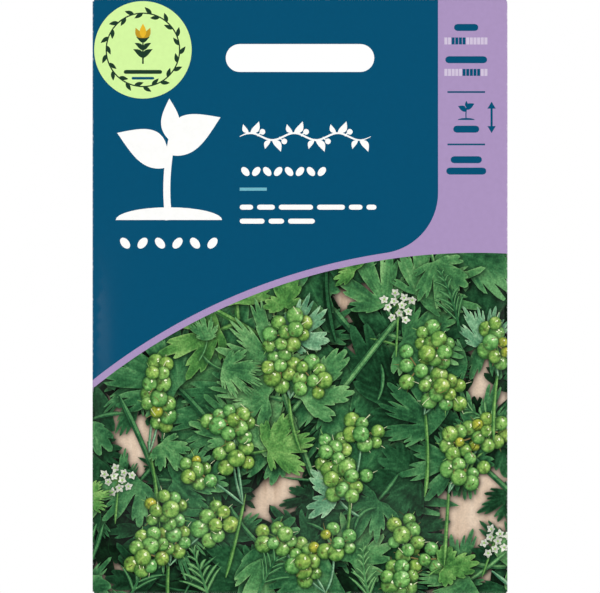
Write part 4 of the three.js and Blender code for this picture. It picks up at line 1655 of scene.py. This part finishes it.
def dried_glue():
    """Dried adhesive: warm white, slightly shiny, with small bubbles."""
    material, tree, shader = new_material("dried_glue", Specular_IOR_Level=0.5)
    colour = tinted(tree, (0.82, 0.78, 0.68, 1), speckle(tree, 500, 0.9, 1.05))
    place = add(tree, "TexCoord", {}).outputs["Object"]
    bubbles = add(tree, "TexVoronoi", {"Scale": 1400.0, "Vector": place}).outputs["Distance"]
    link_finish(tree, shader, colour, speckle(tree, 1500, 0.35, 0.6), bubbles, 0.3, 0.00004)
    return material


def foil():
    """Satin foil laminate with a faint rolling grain and a finely dented surface."""
    material, tree, shader = new_material("foil_laminate", Metallic=1.0)
    colour = tinted(tree, (0.78, 0.79, 0.81, 1), speckle(tree, 300, 0.9, 1.03))
    rolling_grain = speckle(tree, 1500, 0.27, 0.34, 3, (0.3, 1, 1))
    link_finish(tree, shader, colour, rolling_grain, speckle(tree, 500, 0, 1, 2), 0.2, 0.00006)
    return material


def seed_husk():
    """Dry husk: straw to light brown in patches, with a finer mottle and a rough skin."""
    material, tree, shader = new_material("seed_husk", Specular_IOR_Level=0.25)
    patches = add(tree, "ValToRGB", {"Fac": speckle(tree, 380, 0, 1, 5)})
    stops = patches.color_ramp.elements
    stops[0].color, stops[1].color = (0.16, 0.09, 0.035, 1), (0.52, 0.36, 0.17, 1)
    colour = tinted(tree, patches.outputs["Color"], speckle(tree, 2500, 0.85, 1.1))
    skin = speckle(tree, 3500, 0, 1, 5)
    link_finish(tree, shader, colour, speckle(tree, 2000, 0.65, 0.85), skin, 0.5, 0.00005)
    return material


# Stage

PHOTO_WIDTH = 600
PHOTO_HEIGHT = 593
# How much of the packet's height the picture shows
SHOWN = 0.998
# The lamps' sideways, forward and upward places and their side, in metres
LAMP_SIDE, LAMP_DEPTH, LAMP_HEIGHT, LAMP_SIZE = 0.9, 0.8, 0.35, 0.9
# How strong the white surroundings are in a mirroring surface, next to their light
MIRRORED = 0.12
# The floor's glow grows to its full strength between these distances from the slot, in metres
GLOW_FROM, GLOW_TO, GLOW = 0.6, 2.4, 0.68


def make_camera(distance):
    """A long lens square to the front. The packet's height fills the photograph's height, with its rounded
    end folds just at the border."""
    data = bpy.data.cameras.new("camera")
    camera = bpy.data.objects.new("camera", data)
    bpy.context.scene.collection.objects.link(camera)
    frame_width = SHOWN * HEIGHT * MM * PHOTO_WIDTH / PHOTO_HEIGHT
    data.sensor_width = 36
    data.lens = data.sensor_width * distance / frame_width
    data.clip_end = 20
    camera.location = (0, -distance + FRONT_OUT * MM, (TOP + BOTTOM) / 2 * MM)
    camera.rotation_euler = (math.pi / 2, 0, 0)
    bpy.context.scene.camera = camera


def make_light(name, place, power, target):
    """A soft square lamp that faces the packet and isn't seen itself."""
    data = bpy.data.lights.new(name, "AREA")
    data.size = LAMP_SIZE
    data.energy = power
    lamp = bpy.data.objects.new(name, data)
    bpy.context.scene.collection.objects.link(lamp)
    lamp.location = place
    lamp.rotation_euler = (Vector(target) - Vector(place)).to_track_quat("-Z", "Y").to_euler()
    lamp.visible_camera = False


def make_world(strength):
    """White surroundings: bright where they are seen, dim as a light."""
    world = bpy.data.worlds.new("white_room")
    bpy.context.scene.world = world
    world.use_nodes = True
    tree = world.node_tree
    tree.nodes.clear()
    path = add(tree, "LightPath", {})
    soft, mirrored, seen = (
        add(tree, "Background", {"Color": (1, 1, 1, 1), "Strength": level}).outputs[0]
        for level in (strength, MIRRORED * strength, 1.0)
    )
    light = add(tree, "MixShader", {0: path.outputs["Is Glossy Ray"], 1: soft, 2: mirrored}).outputs[0]
    both = add(tree, "MixShader", {0: path.outputs["Is Camera Ray"], 1: light, 2: seen}).outputs[0]
    add(tree, "OutputWorld", {"Surface": both})


def make_floor(drop, size, colour):
    """A plain pale floor under the hanging packet, which fades into the white surroundings by a glow that
    grows with the distance."""
    level = BOTTOM - drop
    half = size / 2
    corners = [(-half, -half, level), (half, -half, level), (half, half, level), (-half, half, level)]
    floor = mesh_piece("floor", corners, [(0, 1, 2, 3)])
    values = {"Roughness": 0.8, "Specular_IOR_Level": 0.2, "Emission_Color": (1, 1, 1, 1)}
    material, tree, shader = new_material("pale_floor", **values)
    place = add(tree, "TexCoord", {}).outputs["Object"]
    away = add(tree, "VectorMath", {0: place}, operation="LENGTH").outputs["Value"]
    rise = {"Value": away, "From Min": GLOW_FROM, "From Max": GLOW_TO, "To Max": GLOW}
    glow = add(tree, "MapRange", rise)
    tree.links.new(glow.outputs["Result"], shader.inputs["Emission Strength"])
    plain = (*to_linear(np.array(colour)), 1)
    tree.links.new(tinted(tree, plain, speckle(tree, 8, 0.97, 1.0)), shader.inputs["Base Color"])
    floor.data.materials.append(material)


def make_stage(settings):
    """The floor, the lights, the white surroundings and the camera."""
    bpy.context.scene.view_settings.view_transform = "Standard"
    make_camera(settings.camera_distance)
    make_floor(settings.floor_drop / MM, settings.floor_size / MM, settings.floor_colour)
    make_world(settings.room_light)
    middle = (0, 0, (TOP + BOTTOM) / 2 * MM)
    for face, forward in (("front", -1), ("back", 1)):
        for hand, side in (("left", -1), ("right", 1)):
            place = (side * LAMP_SIDE, forward * LAMP_DEPTH, LAMP_HEIGHT)
            make_light(f"{face}_lamp_{hand}", place, settings.lamp_power, middle)


# Settings


def ink_property(name, description, colour):
    """A display colour that the user may change."""
    return bpy.props.FloatVectorProperty(
        name=name,
        description=description,
        default=tuple(np.array(colour) / 255),
        size=3,
        min=0,
        max=1,
        subtype="COLOR_GAMMA",
    )


def length_property(name, description, default, low=0.0):
    """A length in metres that the user may change."""
    return bpy.props.FloatProperty(
        name=name, description=description, default=default, min=low, unit="LENGTH"
    )


class PrintSettings(bpy.types.PropertyGroup):
    """Plain inks of the sheet and the sticker."""

    field: ink_property(
        "Field", "Plain colour above the picture, and ink of the marks in the strip", (0, 79, 113)
    )
    strip: ink_property("Strip", "Plain colour of the strip on the right", (169, 146, 190))
    accent: ink_property(
        "Accent", "Short line under the row of seeds, and marks on the back", (112, 181, 196)
    )
    back: ink_property("Back", "Ground of the back panel", (238, 241, 240))
    leaf: ink_property("Leaf", "Green marks on the back", (120, 168, 92))
    sticker: ink_property("Sticker", "Ground of the round sticker", (212, 246, 160))
    sticker_ink: ink_property("Sticker ink", "Wreath, sprig and bar on the sticker", (28, 58, 40))
    bud: ink_property("Bud", "Golden bud on the sticker", (232, 184, 40))


class PouchSettings(bpy.types.PropertyGroup):
    """Sizes of what the sheet holds."""

    crimp_pitch: length_property("Crimp pitch", "Ridge to ridge in the sachet's seals", 0.0012, 0.0003)
    crimp_depth: length_property("Crimp depth", "Height of the ridges in the sachet's seals", 0.00012)
    seed_radius: length_property("Seed radius", "Radius of a large seed", SEED_RADIUS * MM, 0.0005)
    rib_depth: bpy.props.FloatProperty(
        name="Rib depth",
        description="Height of a seed's ribs as a share of its radius",
        default=0.035,
        min=0,
        max=0.2,
        subtype="FACTOR",
    )


class StageSettings(bpy.types.PropertyGroup):
    """Camera, floor and light."""

    camera_distance: length_property("Camera distance", "Lens to the packet's front", 1.2, 0.3)
    floor_drop: length_property("Floor drop", "Packet's lower edge to the floor", 0.55)
    floor_size: length_property("Floor size", "Side of the square floor", 6.0, 0.5)
    floor_colour: ink_property("Floor colour", "Plain pale floor", (236, 236, 234))
    lamp_power: bpy.props.FloatProperty(
        name="Lamp power", description="Power of each soft lamp", default=6.4, min=0, unit="POWER"
    )
    room_light: bpy.props.FloatProperty(
        name="Room light", description="Strength of the white surroundings as a light", default=0.41, min=0
    )


class Settings(bpy.types.PropertyGroup):
    """All settings of the seed packet."""

    print: bpy.props.PointerProperty(type=PrintSettings)
    pouch: bpy.props.PointerProperty(type=PouchSettings)
    stage: bpy.props.PointerProperty(type=StageSettings)


def look_of(context):
    """The inks that the user has set, as display colours."""
    chosen = context.scene.seed_packet.print
    names = PrintSettings.__annotations__
    return SimpleNamespace(**{name: np.array(getattr(chosen, name)) for name in names})


# Operators


class SEEDPACKET_OT_stage(bpy.types.Operator):
    """Make the floor, the lamps, the white surroundings and the camera"""

    bl_idname = "seed_packet.stage"
    bl_label = "Stage"

    def execute(self, context):
        make_stage(context.scene.seed_packet.stage)
        return {"FINISHED"}


class SEEDPACKET_OT_printed_sheet(bpy.types.Operator):
    """Make the folded and printed sheet"""

    bl_idname = "seed_packet.printed_sheet"
    bl_label = "Printed sheet"

    def execute(self, context):
        printed_sheet(look_of(context))
        return {"FINISHED"}


class SEEDPACKET_OT_sticker(bpy.types.Operator):
    """Make the round sticker in the front's top left corner"""

    bl_idname = "seed_packet.sticker"
    bl_label = "Corner sticker"

    def execute(self, context):
        sticker(look_of(context))
        return {"FINISHED"}


class SEEDPACKET_OT_glue(bpy.types.Operator):
    """Make the three strips of glue that close the pouch"""

    bl_idname = "seed_packet.glue"
    bl_label = "Glue strips"

    def execute(self, context):
        glue_strip("seam_glue_strip", "side_seam_glue", SIDE_FLAP_OUT, BACK_IN)
        glue_strip("top_glue_strip", "top_flap_glue", BACK_OUT, FLAP_IN)
        glue_strip("bottom_glue_strip", "bottom_flap_glue", BACK_OUT, FLAP_IN)
        return {"FINISHED"}


class SEEDPACKET_OT_sachet(bpy.types.Operator):
    """Make the two films of the foil sachet"""

    bl_idname = "seed_packet.sachet"
    bl_label = "Foil sachet"

    def execute(self, context):
        pouch = context.scene.seed_packet.pouch
        crimp = (pouch.crimp_pitch / MM, pouch.crimp_depth / MM)
        sachet_film("sachet_front", "sachet_front_film", -1, *crimp)
        sachet_film("sachet_back", "sachet_back_film", 1, *crimp)
        return {"FINISHED"}


class SEEDPACKET_OT_seeds(bpy.types.Operator):
    """Make the layer of seeds in the sachet"""

    bl_idname = "seed_packet.seeds"
    bl_label = "Seeds"

    def execute(self, context):
        pouch = context.scene.seed_packet.pouch
        seed_layer(pouch.seed_radius / MM, pouch.rib_depth)
        return {"FINISHED"}


OPERATORS = (
    SEEDPACKET_OT_stage,
    SEEDPACKET_OT_printed_sheet,
    SEEDPACKET_OT_sticker,
    SEEDPACKET_OT_glue,
    SEEDPACKET_OT_sachet,
    SEEDPACKET_OT_seeds,
)


class SEEDPACKET_PT_panel(bpy.types.Panel):
    """Buttons and settings of the seed packet"""

    bl_idname = "SEEDPACKET_PT_panel"
    bl_label = "Seed packet"
    bl_space_type = "VIEW_3D"
    bl_region_type = "UI"
    bl_category = "Seed packet"

    def draw(self, context):
        settings = context.scene.seed_packet
        for operator in OPERATORS:
            self.layout.operator(operator.bl_idname)
        for group in (settings.print, settings.pouch, settings.stage):
            for name in group.__annotations__:
                self.layout.prop(group, name)


CLASSES = (PrintSettings, PouchSettings, StageSettings, Settings, *OPERATORS, SEEDPACKET_PT_panel)


def register():
    """Registers the classes and gives each scene its settings."""
    for item in CLASSES:
        bpy.utils.register_class(item)
    bpy.types.Scene.seed_packet = bpy.props.PointerProperty(type=Settings)


def unregister():
    """Takes back what register did."""
    del bpy.types.Scene.seed_packet
    for item in reversed(CLASSES):
        bpy.utils.unregister_class(item)


def main():
    """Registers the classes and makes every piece."""
    register()
    bpy.ops.seed_packet.stage()
    bpy.ops.seed_packet.printed_sheet()
    bpy.ops.seed_packet.sticker()
    bpy.ops.seed_packet.glue()
    bpy.ops.seed_packet.sachet()
    bpy.ops.seed_packet.seeds()


if __name__ == "__main__":
    main()
